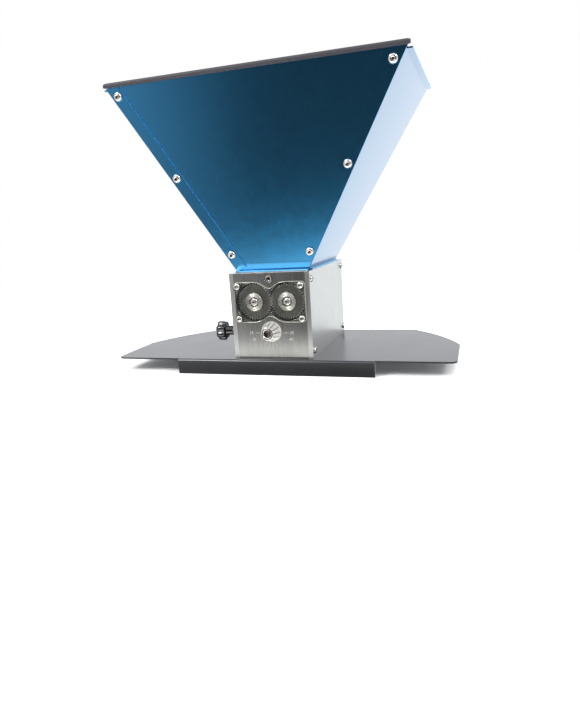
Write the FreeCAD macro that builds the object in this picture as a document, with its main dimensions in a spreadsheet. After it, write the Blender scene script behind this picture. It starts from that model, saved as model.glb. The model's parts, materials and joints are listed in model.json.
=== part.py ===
import FreeCAD, Part
import math
import os
import re
import Sketcher

# Two-roller grain mill with a folded sheet hopper, standing on a flat base plate.
# Millimetres. +Z is up, +Y runs from the dial face to the driven end of the shaft.
# The origin is at the middle of the mill body in plan, on the floor that the plate's flaps stand on.
# Each sub-part is one object whose Label is its node name.

V = FreeCAD.Vector
X_AXIS = V(1, 0, 0)
Y_AXIS = V(0, 1, 0)
Z_AXIS = V(0, 0, 1)

# alias: (value, what it is)
DIMENSIONS = {
    "body_width": (95, "over both side plates"),
    "body_depth": (161, "over the front and rear blocks"),
    "body_height": (98, "side plates and blocks"),
    "side_thickness": (5, "side plate"),
    "block_thickness": (17, "front and rear block"),
    "plate_thickness": (2, "base plate sheet"),
    "plate_width": (408, "base plate, left to right"),
    "plate_depth": (174, "base plate, front to rear edge"),
    "plate_front_radius": (8, "front corners of the base plate"),
    "plate_rear_radius": (217, "arc of the rear corners, about the middle of the front face"),
    "flap_width": (237, "folded flaps that locate the plate in a pail"),
    "flap_drop": (16, "underside of the plate above the foot of its flaps"),
    "flap_reach": (3.7, "outer face of a flap beyond the plate edge"),
    "outlet_width": (80, "grain outlet in the base plate"),
    "outlet_length": (122, "grain outlet in the base plate"),
    "throat_width": (85, "grain inlet between the side plates"),
    "throat_length": (127, "grain inlet between the blocks"),
    "axis_height": (83, "roller axes"),
    "roller_spacing": (39.5, "roller axes apart, at the middle of the gap range"),
    "roller_diameter": (38, "rollers"),
    "roller_length": (126, "rollers"),
    "shaft_diameter": (16, "shaft inside a roller"),
    "journal_diameter": (12, "shaft in its bearings"),
    "drive_diameter": (10, "free end of the drive shaft, and the gear seats"),
    "drive_reach": (29.9, "free end of the drive shaft beyond the rear block"),
    "drive_flat": (0.8, "depth of a flat on the shaft"),
    "drive_flat_length": (13, "flat on the free end"),
    "fit_gap": (0.02, "radial gap of a fixed fit"),
    "running_gap": (0.05, "radial gap of a turning fit"),
    "bearing_diameter": (24, "ball bearing, outside"),
    "bearing_width": (6, "ball bearing"),
    "bearing_pitch_radius": (9, "circle of ball centres"),
    "ball_diameter": (3.2, "bearing ball"),
    "gear_teeth": (40, "teeth on each gear"),
    "gear_module": (0.96875, "pitch diameter over teeth, at the closest gap"),
    "gear_width": (5, "gear"),
    "gear_bore_gap": (1.5, "collar between a gear and its bearing"),
    "pocket_depth": (10, "gear pocket in the front block"),
    "pocket_radius": (22, "gear pocket round each axis"),
    "washer_diameter": (21, "hub washer in front of a gear"),
    "washer_thickness": (1.3, "hub washer under its screw"),
    "hub_rim": (3.9, "rim of a hub washer in front of the gear"),
    "hub_recess": (11, "recess for the screw head in a hub washer"),
    "cover_thickness": (3, "clear gear cover"),
    "cover_half_width": (42.5, "clear gear cover"),
    "cover_half_height": (23, "clear gear cover, and the radius of its lobes"),
    "cover_waist": (16.1, "cover edge above and below the gear axes at its waist"),
    "cover_corner": (5, "corner radius of the cover"),
    "cover_screw_x": (37.5, "cover screws from the middle"),
    "cover_screw_rise": (18.5, "cover screws above and below the gear axes"),
    "carrier_thickness": (5.8, "sliding bearing carrier"),
    "carrier_half_width": (17.5, "carrier round its bearing"),
    "carrier_arm": (12, "half width of the carrier arm"),
    "carrier_foot": (38, "lower end of the carrier arm"),
    "carrier_gap": (0.1, "slide clearance above and below a carrier"),
    "carrier_travel_gap": (1.5, "room beside a carrier at the middle of the gap range"),
    "dial_height": (49.5, "axis of the gap dial"),
    "adjuster_diameter": (8, "gap adjusting shaft"),
    "cam_diameter": (13, "eccentric disc"),
    "cam_offset": (0.75, "eccentricity, half the gap range"),
    "cam_side_gap": (0.2, "slot wider than the disc, each side"),
    "knob_diameter": (23.5, "dial knob at the face"),
    "knob_front_diameter": (14.8, "dial knob at the front"),
    "knob_length": (16, "dial knob"),
    "knob_clearance": (0.5, "dial knob off the face"),
    "lock_inset": (7.5, "lock screw behind the front face"),
    "lock_tip_gap": (0.6, "lock screw tip off the adjusting shaft"),
    "lock_diameter": (5, "lock screw"),
    "star_diameter": (23, "star knob"),
    "star_length": (11, "star knob head"),
    "star_hub_diameter": (11.5, "star knob hub"),
    "star_hub_length": (8, "star knob hub"),
    "star_stand_off": (2.5, "star knob hub off the side plate"),
    "hopper_top_width": (318, "hopper mouth"),
    "hopper_top_depth": (215, "hopper mouth"),
    "hopper_height": (202.8, "side panels above the body"),
    "hopper_sheet": (1.5, "hopper sheet"),
    "hopper_flange": (15, "corner flange, level width"),
    "hopper_ledge": (4, "ledge that rests on the body"),
    "hopper_lip": (4.5, "lip of a side panel"),
    "hopper_screw_low": (20.6, "lowest corner screw above the body"),
    "hopper_screw_pitch": (86.7, "corner screws apart in height"),
    "hopper_screw_inset": (8, "corner screws in from the corner, level"),
    "panel_rise": (3, "front and rear panels above the side panels"),
    "tab_width": (24, "tab into the throat"),
    "tab_drop": (14, "tab into the throat"),
    "trim_height": (6, "rubber edge trim"),
    "trim_thickness": (4.5, "rubber edge trim"),
    "trim_overhang": (3, "trim past the corners"),
    "clamp_height": (109.4, "screws that hold the hopper tabs"),
    "side_screw_inset": (7, "side plate screws from the body's front and rear faces"),
    "side_screw_low": (8.5, "side plate screws from the body's top and bottom"),
    "base_screw_x": (30, "base screws from the middle"),
    "base_screw_y": (72, "base screws from the middle"),
    "small_thread": (4, "small screws"),
    "small_head": (7.6, "small button head"),
    "small_head_height": (2.2, "small button head"),
    "large_thread": (5, "large screws"),
    "large_head": (9.5, "large button head"),
    "large_head_height": (2.75, "large button head"),
    "cap_head": (8.5, "cap head"),
    "cap_head_height": (5, "cap head"),
    "counterbore_diameter": (9.5, "recess for a cap head"),
    "counterbore_depth": (5.5, "recess for a cap head"),
    "sunk_head": (9, "countersunk head"),
    "nut_width": (8, "nut across flats"),
    "nut_thickness": (4, "nut"),
}

doc = FreeCAD.newDocument("GrainMill")
sheet = doc.addObject("Spreadsheet::Sheet", "Dimensions")
for row, (alias, (number, note)) in enumerate(DIMENSIONS.items(), start=1):
    sheet.set(f"A{row}", alias)
    sheet.set(f"B{row}", str(number))
    sheet.set(f"C{row}", note)
    sheet.setAlias(f"B{row}", alias)
doc.recompute()

WORD = re.compile(r"[a-z_]+")
nodes = []


# ---------------------------------------------------------------- formulas

def linked(formula):
    """Rewrites a formula so that another object can read the sheet's aliases."""
    def reference(found):
        word = found.group(0)
        return f"Dimensions.{word}" if word in DIMENSIONS else word
    return WORD.sub(reference, str(formula))


def value(formula):
    """Works a formula out now."""
    return float(sheet.evalExpression(str(formula)))


def bind(item, **formulas):
    """Binds properties of an object to formulas over the sheet."""
    for name, formula in formulas.items():
        item.setExpression(name, linked(formula))


def bind_place(item, x=0, y=0, z=0):
    """Binds the position of an object; its turn is left as it is."""
    for axis, formula in zip("xyz", (x, y, z)):
        item.setExpression(f"Placement.Base.{axis}", linked(formula))


def keep(item, label):
    """Marks an object as a sub-part, under its node name."""
    item.Label = label
    nodes.append(item)
    return item


# Places and sizes that several sub-parts share.
PLATE_TOP = "(flap_drop + plate_thickness)"
BODY_TOP = f"({PLATE_TOP} + body_height)"
FRONT_FACE = "(-body_depth / 2)"
REAR_FACE = "(body_depth / 2)"
BLOCK_WIDTH = "(body_width - 2 * side_thickness)"
THROAT_END = "(body_depth / 2 - block_thickness)"
SEAT_END = f"({THROAT_END} + bearing_width)"
DRIVE_X = "(roller_spacing / 2)"
IDLER_X = "(-roller_spacing / 2)"
GEAR_BACK = f"(-{SEAT_END} - gear_bore_gap)"
GEAR_FRONT = f"({GEAR_BACK} - gear_width)"
CARRIER_FLOOR = "(axis_height - carrier_half_width + carrier_gap)"
CARRIER_CEILING = "(axis_height + carrier_half_width - carrier_gap)"
CARRIER_SHOULDER = "(axis_height - carrier_half_width + 2.5)"
SLOT_HALF_HEIGHT = "(cam_diameter / 2 + cam_offset + 0.3)"
LOCK_Y = "(-body_depth / 2 + lock_inset)"
LOCK_TIP = "(-adjuster_diameter / 2 - lock_tip_gap)"
SIDE_SLOPE = "((hopper_top_width - throat_width) / 2 / hopper_height)"
FRONT_SLOPE = "((hopper_top_depth - throat_length) / 2 / hopper_height)"
SIDE_SHEET = f"(hopper_sheet * sqrt(1 + {SIDE_SLOPE}^2))"
SCREW_HEIGHTS = [f"(hopper_screw_low + {step} * hopper_screw_pitch)" for step in range(3)]


def side_at(rise):
    """Outer face of a side panel at a height above the body."""
    return f"(throat_width / 2 + {SIDE_SLOPE} * ({rise}))"


def front_at(rise):
    """Outer face of a front or rear panel at a height above the body, from the middle."""
    return f"(throat_length / 2 + {FRONT_SLOPE} * ({rise}))"


# ---------------------------------------------------------------- Part primitives

def box(name, x, y, z):
    """A box between three pairs of formulas."""
    item = doc.addObject("Part::Box", name)
    bind(item, Length=f"({x[1]}) - ({x[0]})", Width=f"({y[1]}) - ({y[0]})", Height=f"({z[1]}) - ({z[0]})")
    bind_place(item, x[0], y[0], z[0])
    return item


def rod(name, radius, length, place, axis=Z_AXIS):
    """A cylinder that starts at place and runs along axis."""
    item = doc.addObject("Part::Cylinder", name)
    item.Placement = FreeCAD.Placement(V(), FreeCAD.Rotation(Z_AXIS, axis))
    bind(item, Radius=radius, Height=length)
    bind_place(item, *place)
    return item


def leaning_slab(name, low, high, rises, turn=0):
    """A straight-sided slab above the body between two level rectangles (x0, x1, y0, y1)."""
    item = doc.addObject("Part::Wedge", name)
    upright = FreeCAD.Rotation(X_AXIS, 90)
    item.Placement = FreeCAD.Placement(V(), FreeCAD.Rotation(Z_AXIS, turn).multiply(upright))
    bind(item, Ymin=rises[0], Ymax=rises[1])
    bind(item, Xmin=low[0], Xmax=low[1], Zmin=f"-({low[3]})", Zmax=f"-({low[2]})")
    bind(item, X2min=high[0], X2max=high[1], Z2min=f"-({high[3]})", Z2max=f"-({high[2]})")
    bind_place(item, z=BODY_TOP)
    return item


def fused(name, pieces):
    if len(pieces) == 1:
        return pieces[0]
    item = doc.addObject("Part::MultiFuse", name)
    item.Shapes = pieces
    return item


def cut(name, base, tool):
    item = doc.addObject("Part::Cut", name)
    item.Base = base
    item.Tool = tool
    return item


# ---------------------------------------------------------------- PartDesign bodies

def new_body(name, x=0, y=0, z=0):
    body = doc.addObject("PartDesign::Body", name)
    bind_place(body, x, y, z)
    return body


def new_sketch(body, name, role, offset=0):
    """A sketch on one of the body's own origin planes, moved along the plane's normal."""
    sketch = body.newObject("Sketcher::SketchObject", name)
    plane = next(item for item in body.Origin.OriginFeatures if item.Role == role)
    sketch.AttachmentSupport = [(plane, "")]
    sketch.MapMode = "FlatFace"
    sketch.setExpression("AttachmentOffset.Base.z", linked(offset))
    return sketch


def pin_vertex(sketch, edge, position, x, y):
    """Dimensions one vertex from the sketch origin with formulas."""
    for kind, formula in (("DistanceX", x), ("DistanceY", y)):
        constraint = Sketcher.Constraint(kind, -1, 1, edge, position, value(formula))
        index = sketch.addConstraint(constraint)
        sketch.setExpression(f"Constraints[{index}]", linked(formula))


def add_polygon(sketch, corners):
    """A closed outline through corners given as formulas."""
    first = sketch.GeometryCount
    points = [V(value(x), value(y), 0) for x, y in corners]
    for start, end in zip(points, points[1:] + points[:1]):
        sketch.addGeometry(Part.LineSegment(start, end), False)
    for number, (x, y) in enumerate(corners):
        edge = first + number
        following = first + (number + 1) % len(corners)
        sketch.addConstraint(Sketcher.Constraint("Coincident", edge, 2, following, 1))
        pin_vertex(sketch, edge, 1, x, y)


def add_rectangle(sketch, x, y):
    add_polygon(sketch, [(x[0], y[0]), (x[1], y[0]), (x[1], y[1]), (x[0], y[1])])


def add_circle(sketch, x, y, radius):
    """A circle whose centre and radius are formulas."""
    edge = sketch.addGeometry(Part.Circle(V(value(x), value(y), 0), Z_AXIS, value(radius)), False)
    pin_vertex(sketch, edge, 3, x, y)
    index = sketch.addConstraint(Sketcher.Constraint("Radius", edge, value(radius)))
    sketch.setExpression(f"Constraints[{index}]", linked(radius))


def add_path(sketch, start, steps):
    """A closed outline of numbers: a step is a point, or (middle, end) for an arc."""
    here = V(*start, 0)
    for step in steps:
        if isinstance(step[0], tuple):
            middle, end = (V(*point, 0) for point in step)
            edge = sketch.addGeometry(Part.Arc(here, middle, end), False)
        else:
            end = V(*step, 0)
            edge = sketch.addGeometry(Part.LineSegment(here, end), False)
        sketch.addConstraint(Sketcher.Constraint("Block", edge))
        here = end


def add_pad(body, sketch, length, midplane=False):
    pad = body.newObject("PartDesign::Pad", f"{sketch.Name}_pad")
    pad.Profile = sketch
    pad.Midplane = midplane
    bind(pad, Length=length)
    doc.recompute()
    return pad


def add_pocket(body, sketch, depth, away=False):
    """Cuts against the sketch normal, or along it when away is set."""
    before = body.Shape.Volume
    pocket = body.newObject("PartDesign::Pocket", f"{sketch.Name}_pocket")
    pocket.Profile = sketch
    pocket.Reversed = away
    bind(pocket, Length=depth)
    doc.recompute()
    if body.Shape.Volume >= before:
        raise ValueError(f"{sketch.Name} cuts nothing")
    return pocket


def add_revolution(body, sketch):
    """A full turn about the sketch's vertical axis."""
    turn = body.newObject("PartDesign::Revolution", f"{sketch.Name}_turn")
    turn.Profile = sketch
    turn.ReferenceAxis = (sketch, ["V_Axis"])
    turn.Angle = 360
    doc.recompute()
    return turn


def turned(name, x, z, profile):
    """A turned piece about an axis along Y; profile is (radius, y) formulas."""
    body = new_body(name, x=x, z=z)
    sketch = new_sketch(body, f"{name}_profile", "XY_Plane")
    add_polygon(sketch, profile)
    add_revolution(body, sketch)
    return body


def ring_of(name, count, pattern_of, body, role):
    """Repeats a feature round one of the body's own axes."""
    pattern = body.newObject("PartDesign::PolarPattern", name)
    pattern.Originals = [pattern_of]
    axis = next(item for item in body.Origin.OriginFeatures if item.Role == role)
    pattern.Axis = (axis, [""])
    pattern.Angle = 360
    bind(pattern, Occurrences=count)
    body.Tip = pattern
    doc.recompute()
    return pattern


# ---------------------------------------------------------------- base plate

def make_base_plate():
    body = new_body("plate_sheet")
    outline = new_sketch(body, "plate_outline", "XY_Plane", "flap_drop")
    half_width = value("plate_width / 2")
    half_depth = value("plate_depth / 2")
    corner = value("plate_front_radius")
    nip = corner * (1 - math.sqrt(0.5))
    arc = value("plate_rear_radius")
    arc_y = value(FRONT_FACE) + 3.6
    arc_start = arc_y + math.sqrt(arc**2 - half_width**2)
    arc_end = math.sqrt(arc**2 - (half_depth - arc_y) ** 2)
    middle = (math.atan2(arc_start - arc_y, half_width) + math.atan2(half_depth - arc_y, arc_end)) / 2
    bulge = (arc * math.cos(middle), arc_y + arc * math.sin(middle))
    add_path(outline, (corner - half_width, -half_depth), [
        (half_width - corner, -half_depth),
        ((half_width - nip, nip - half_depth), (half_width, corner - half_depth)),
        (half_width, arc_start),
        (bulge, (arc_end, half_depth)),
        (-arc_end, half_depth),
        ((-bulge[0], bulge[1]), (-half_width, arc_start)),
        (-half_width, corner - half_depth),
        ((nip - half_width, nip - half_depth), (corner - half_width, -half_depth)),
    ])
    add_pad(body, outline, "plate_thickness")

    flaps = new_sketch(body, "flap_profiles", "YZ_Plane")
    thick = value("plate_thickness")
    outer = half_depth + value("flap_reach")
    inner = outer - thick
    fold = 1 + thick
    round_out = outer - fold * (1 - math.sqrt(0.5))
    round_in = outer - fold + math.sqrt(0.5)
    under = value("flap_drop")
    for side in (-1, 1):
        add_path(flaps, (side * (half_depth - 2), under), [
            (side * (outer - fold), under),
            ((side * round_in, under + math.sqrt(0.5) - 1), (side * inner, under - 1)),
            (side * inner, 0),
            (side * outer, 0),
            (side * outer, under - 1),
            ((side * round_out, under + fold * math.sqrt(0.5) - 1), (side * (outer - fold), under + thick)),
            (side * (half_depth - 2), under + thick),
            (side * (half_depth - 2), under),
        ])
    add_pad(body, flaps, "flap_width", midplane=True)

    outlet = new_sketch(body, "outlet_outline", "XY_Plane", PLATE_TOP)
    add_rectangle(
        outlet,
        ("-outlet_width / 2", "outlet_width / 2"),
        ("-outlet_length / 2", "outlet_length / 2"),
    )
    add_pocket(body, outlet, "plate_thickness")
    sinks = [countersink(x, y) for x in (-1, 1) for y in (-1, 1)]
    return keep(cut("base_plate", body, fused("base_sinks", sinks)), "base_plate")


def countersink(x, y):
    """The conical seat of one base screw."""
    item = doc.addObject("Part::Cone", "countersink")
    bind(item, Radius1="sunk_head / 2 + fit_gap", Radius2="large_thread / 2 + fit_gap")
    bind(item, Height="plate_thickness")
    bind_place(item, f"{x} * base_screw_x", f"{y} * base_screw_y", "flap_drop")
    return item


# ---------------------------------------------------------------- mill body

def make_side_plate(label, start):
    body = new_body(label, x=start)
    outline = new_sketch(body, f"{label}_outline", "YZ_Plane")
    add_rectangle(outline, (FRONT_FACE, REAR_FACE), (PLATE_TOP, BODY_TOP))
    add_pad(body, outline, "side_thickness")
    holes = new_sketch(body, f"{label}_holes", "YZ_Plane", "side_thickness")
    for y, z in side_screw_places():
        add_circle(holes, y, z, "small_thread / 2 + 0.2")
    if label == "side_plate_left":
        add_circle(holes, LOCK_Y, "dial_height", "lock_diameter / 2 + 0.3")
    add_pocket(body, holes, "side_thickness")
    return keep(body, label)


def side_screw_places():
    ends = (f"({FRONT_FACE} + side_screw_inset)", f"({REAR_FACE} - side_screw_inset)")
    levels = (f"({PLATE_TOP} + side_screw_low)", f"({BODY_TOP} - side_screw_low)")
    return [(y, z) for y in ends for z in levels]


def carrier_pocket(sketch):
    """The recess that a bearing carrier slides in, with room for its travel."""
    left = f"({IDLER_X} - carrier_half_width - carrier_travel_gap - cam_offset)"
    right = f"({IDLER_X} + carrier_half_width + carrier_travel_gap + cam_offset)"
    arm = "(carrier_arm + carrier_travel_gap)"
    floor = "(axis_height - carrier_half_width)"
    add_polygon(sketch, [
        (left, floor),
        (f"-{arm}", floor),
        (f"-{arm}", "carrier_foot - 0.5"),
        (arm, "carrier_foot - 0.5"),
        (arm, f"{CARRIER_SHOULDER} + 0.5"),
        (right, f"{CARRIER_SHOULDER} + 0.5"),
        (right, "axis_height + carrier_half_width"),
        (left, "axis_height + carrier_half_width"),
    ])


def make_block(label, outer_face, outward):
    """A bearing block; outward is True where local y = 0 is its inner face, as in front."""
    body = new_body(label, y=outer_face)
    inner = "0" if outward else "block_thickness"
    outer = "block_thickness" if outward else "0"
    outline = new_sketch(body, f"{label}_outline", "XZ_Plane")
    add_rectangle(outline, (f"-{BLOCK_WIDTH} / 2", f"{BLOCK_WIDTH} / 2"), (PLATE_TOP, BODY_TOP))
    add_pad(body, outline, "block_thickness")

    def sink(name, offset, depth, from_inside, circles):
        sketch = new_sketch(body, f"{label}_{name}", "XZ_Plane", offset)
        for circle in circles:
            add_circle(sketch, *circle)
        add_pocket(body, sketch, depth, away=(from_inside == outward))

    sink("bearing_seat", inner, "bearing_width", True,
         [(DRIVE_X, "axis_height", "bearing_diameter / 2 + fit_gap")])
    slide = new_sketch(body, f"{label}_slide", "XZ_Plane", inner)
    carrier_pocket(slide)
    add_pocket(body, slide, "bearing_width", away=outward)
    sink("clamp_hole", outer, "block_thickness", False,
         [("0", "clamp_height", "large_thread / 2 + 0.2")])
    sink("clamp_recess", outer, "counterbore_depth", False,
         [("0", "clamp_height", "counterbore_diameter / 2")])
    tapped_sides(body, label)
    base_taps = new_sketch(body, f"{label}_base_taps", "XY_Plane", PLATE_TOP)
    local_y = f"-({outer_face}) + " + ("-base_screw_y" if outward else "base_screw_y")
    for x in ("-base_screw_x", "base_screw_x"):
        add_circle(base_taps, x, local_y, "large_thread / 2 + fit_gap")
    add_pocket(body, base_taps, "14", away=True)
    return body, sink


def tapped_sides(body, label):
    """Threaded holes for the side plate screws, from both sides."""
    near = "-side_screw_inset" if label == "rear_block" else "side_screw_inset - block_thickness"
    for side, name in ((1, "right"), (-1, "left")):
        sketch = new_sketch(body, f"{label}_taps_{name}", "YZ_Plane", f"{side} * {BLOCK_WIDTH} / 2")
        for level in (f"{PLATE_TOP} + side_screw_low", f"{BODY_TOP} - side_screw_low"):
            add_circle(sketch, near, level, "small_thread / 2 + fit_gap")
        add_pocket(body, sketch, "8", away=(side < 0))


def make_front_block():
    body, sink = make_block("front_block", f"-{THROAT_END}", True)
    for name, x in (("drive", DRIVE_X), ("idler", IDLER_X)):
        sink(f"{name}_gear_pocket", "block_thickness", "pocket_depth", False,
             [(x, "axis_height", "pocket_radius")])
        sink(f"{name}_shaft_hole", "block_thickness", "block_thickness", False,
             [(x, "axis_height", "journal_diameter / 2 + 1.5")])
    sink("adjuster_hole", "block_thickness", "block_thickness", False,
         [("0", "dial_height", "adjuster_diameter / 2 + running_gap")])
    sink("cover_taps", "block_thickness", "8", False,
         [(x, z, "small_thread / 2 + fit_gap") for x, z in cover_screw_places()])
    lock = new_sketch(body, "lock_tap", "YZ_Plane", f"-{BLOCK_WIDTH} / 2")
    add_circle(lock, "lock_inset - block_thickness", "dial_height", "lock_diameter / 2 + running_gap")
    add_pocket(body, lock, f"{BLOCK_WIDTH} / 2", away=True)
    return keep(body, "front_block")


def make_rear_block():
    body, sink = make_block("rear_block", REAR_FACE, False)
    sink("drive_shaft_hole", "0", "block_thickness", False,
         [(DRIVE_X, "axis_height", "journal_diameter / 2 + 0.5")])
    sink("idler_shaft_hole", "block_thickness", "bearing_width + 3", True,
         [(IDLER_X, "axis_height", "journal_diameter / 2 + 1.5")])
    sink("adjuster_hole", "block_thickness", "bearing_width + 4", True,
         [("0", "dial_height", "adjuster_diameter / 2 + running_gap")])
    return keep(body, "rear_block")


def cover_screw_places():
    return [(f"{side} * cover_screw_x", f"axis_height + {level} * cover_screw_rise")
            for side in (-1, 1) for level in (-1, 1)]


def make_gear_cover():
    """Clear plate over the gears: two round lobes, four ears and a waist above and below."""
    body = new_body("gear_cover", y=FRONT_FACE)
    sketch = new_sketch(body, "cover_outline", "XZ_Plane")
    axis = value("axis_height")
    lobe_x = value(DRIVE_X)
    lobe = value("cover_half_height")
    waist = value("cover_waist")
    wide = value("cover_half_width")
    corner = value("cover_corner")
    nip = corner * (1 - math.sqrt(0.5))
    waist_radius = (lobe**2 - waist**2 - lobe_x**2) / (2 * (waist - lobe))
    waist_centre = waist + waist_radius
    share = lobe / (lobe + waist_radius)
    join = (lobe_x * (1 - share), waist_centre * share)
    lean = math.atan2(waist_centre, lobe_x) / 2 + math.pi / 4
    shoulder = (lobe_x - lobe * math.cos(lean), lobe * math.sin(lean))

    def edge(side, level):
        """Half of the top or bottom edge, from the waist outwards."""
        def spot(x, z):
            return (side * x, axis + level * z)
        return [
            (spot(*shoulder), spot(lobe_x, lobe)),
            spot(wide - corner, lobe),
            (spot(wide - nip, lobe - nip), spot(wide, lobe - corner)),
        ], spot(*join), spot(0, waist)

    def backwards(steps, start):
        """The same edge, from its far end to its start."""
        ends = [start] + [step[1] if isinstance(step[0], tuple) else step for step in steps]
        turned_steps = []
        for number in range(len(steps) - 1, -1, -1):
            step = steps[number]
            arc = isinstance(step[0], tuple)
            turned_steps.append((step[0], ends[number]) if arc else ends[number])
        return turned_steps

    top_right, top_join_right, top_waist = edge(1, 1)
    low_right, low_join_right, low_waist = edge(1, -1)
    top_left, top_join_left, _ = edge(-1, 1)
    low_left, low_join_left, _ = edge(-1, -1)
    add_path(sketch, top_join_right, [
        *top_right,
        (wide, axis - lobe + corner),
        *backwards(low_right, low_join_right),
        (low_waist, low_join_left),
        *low_left,
        (-wide, axis + lobe - corner),
        *backwards(top_left, top_join_left),
        (top_waist, top_join_right),
    ])
    add_pad(body, sketch, "cover_thickness")
    holes = new_sketch(body, "cover_holes", "XZ_Plane", "cover_thickness")
    for x, z in cover_screw_places():
        add_circle(holes, x, z, "small_thread / 2 + 0.2")
    add_pocket(body, holes, "cover_thickness")
    return keep(body, "gear_cover")


# ---------------------------------------------------------------- rollers, shafts and gears

def make_roller(label, x):
    bore = "shaft_diameter / 2 + fit_gap"
    outside = "roller_diameter / 2"
    end = "roller_length / 2"
    body = turned(label, x, "axis_height", [
        (bore, f"-{end}"),
        (f"{outside} - 0.8", f"-{end}"),
        (outside, f"0.8 - {end}"),
        (outside, f"{end} - 0.8"),
        (f"{outside} - 0.8", end),
        (bore, end),
    ])
    return keep(body, label)


def make_shaft(label, x, rear_steps):
    """A roller shaft with a threaded front end; rear_steps finish it past the rear journal."""
    tap = "large_thread / 2 + fit_gap"
    tap_end = f"{GEAR_FRONT} + 13"
    journal = "journal_diameter / 2"
    end = "roller_length / 2"
    shoulder = f"{journal} + 0.75"
    body = turned(f"{label}_turning", x, "axis_height", [
        (tap, GEAR_FRONT),
        ("drive_diameter / 2", GEAR_FRONT),
        ("drive_diameter / 2", GEAR_BACK),
        (journal, GEAR_BACK),
        (journal, f"-{THROAT_END}"),
        (shoulder, f"-{THROAT_END}"),
        (shoulder, f"-{end}"),
        ("shaft_diameter / 2", f"-{end}"),
        ("shaft_diameter / 2", end),
        (shoulder, end),
        (shoulder, THROAT_END),
        (journal, THROAT_END),
        *rear_steps,
        ("0", tap_end),
        (tap, tap_end),
    ])
    flats = [box(f"{label}_gear_flat", flat_band(x), (GEAR_FRONT, GEAR_BACK), FLAT_LEVELS)]
    if label == "drive_shaft":
        tip = f"({REAR_FACE} + drive_reach)"
        flats.append(box("drive_end_flat", flat_band(x), (f"{tip} - drive_flat_length", tip), FLAT_LEVELS))
    return keep(cut(label, body, fused(f"{label}_flats", flats)), label)


FLAT_LEVELS = ("axis_height + drive_diameter / 2 - drive_flat", "axis_height + drive_diameter")


def flat_band(x):
    return (f"{x} - drive_diameter", f"{x} + drive_diameter")


def make_shafts():
    journal = "journal_diameter / 2"
    journal_end = f"{SEAT_END} + 1.5"
    tip = f"{REAR_FACE} + drive_reach"
    drive_end = [
        (journal, REAR_FACE),
        ("drive_diameter / 2", REAR_FACE),
        ("drive_diameter / 2", f"{tip} - 0.8"),
        ("drive_diameter / 2 - 0.8", tip),
        ("0", tip),
    ]
    make_shaft("drive_shaft", DRIVE_X, drive_end)
    make_shaft("idler_shaft", IDLER_X, [(journal, journal_end), ("0", journal_end)])


def involute(base, radius):
    """Angle of an involute at a radius, from where it leaves its base circle."""
    pressure = math.acos(min(1, base / radius))
    return math.tan(pressure) - pressure


def make_gear(label, x, turn):
    """A spur gear about an axis along Y: a disc with one tooth space cut and repeated."""
    teeth = value("gear_teeth")
    pitch = value("gear_module * gear_teeth / 2")
    tip = pitch + 1.325
    root = pitch - 1.525
    base = pitch * math.cos(math.radians(20))
    thickness = math.pi * pitch / teeth - 0.05
    half_tooth = thickness / 2 / pitch + involute(base, pitch)
    body = doc.addObject("PartDesign::Body", label)
    body.Placement = FreeCAD.Placement(V(), FreeCAD.Rotation(Y_AXIS, turn))
    bind_place(body, x, GEAR_BACK, "axis_height")
    disc = new_sketch(body, f"{label}_disc", "XZ_Plane")
    add_circle(disc, "0", "0", str(tip))
    add_pad(body, disc, "gear_width")

    middle_of_space = math.pi / teeth
    over_tip = tip + 0.5

    def flank(radius, side):
        angle = middle_of_space + side * (middle_of_space - half_tooth + involute(base, max(radius, base)))
        return (radius * math.cos(angle), radius * math.sin(angle))

    bottom = (root * math.cos(middle_of_space), root * math.sin(middle_of_space))
    crown = (over_tip * math.cos(middle_of_space), over_tip * math.sin(middle_of_space))
    half_way = (base + over_tip) / 2
    space = new_sketch(body, f"{label}_space", "XZ_Plane", "gear_width")
    add_path(space, flank(over_tip, -1), [
        (flank(half_way, -1), flank(base, -1)),
        flank(root, -1),
        (bottom, flank(root, 1)),
        flank(base, 1),
        (flank(half_way, 1), flank(over_tip, 1)),
        (crown, flank(over_tip, -1)),
    ])
    one_space = add_pocket(body, space, "gear_width")
    ring_of(f"{label}_spaces", "gear_teeth", one_space, body, "Y_Axis")

    bore = new_sketch(body, f"{label}_bore", "XZ_Plane", "gear_width")
    radius = value("drive_diameter / 2 + fit_gap")
    flat = value("drive_diameter / 2 - drive_flat + fit_gap")
    half = math.sqrt(radius**2 - flat**2)
    angle = math.radians(-turn)

    def spun(across, up):
        """The shaft flat faces up, so the bore is turned back by the gear's own turn."""
        return (across * math.cos(angle) + up * math.sin(angle), up * math.cos(angle) - across * math.sin(angle))

    add_path(bore, spun(-half, flat), [
        spun(half, flat),
        (spun(0, -radius), spun(-half, flat)),
    ])
    add_pocket(body, bore, "gear_width")
    return keep(body, label)


def make_hub_washer(label, x):
    """A thick washer in front of a gear, with a raised rim round the recess for its screw's head."""
    seat = f"{GEAR_FRONT} - washer_thickness"
    face = f"{GEAR_FRONT} - hub_rim"
    body = turned(label, x, "axis_height", [
        ("large_thread / 2 + 0.1", GEAR_FRONT),
        ("washer_diameter / 2", GEAR_FRONT),
        ("washer_diameter / 2", f"{face} + 0.4"),
        ("washer_diameter / 2 - 0.4", face),
        ("hub_recess / 2", face),
        ("hub_recess / 2", seat),
        ("large_thread / 2 + 0.1", seat),
    ])
    return keep(body, label)


# ---------------------------------------------------------------- ball bearings

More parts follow.
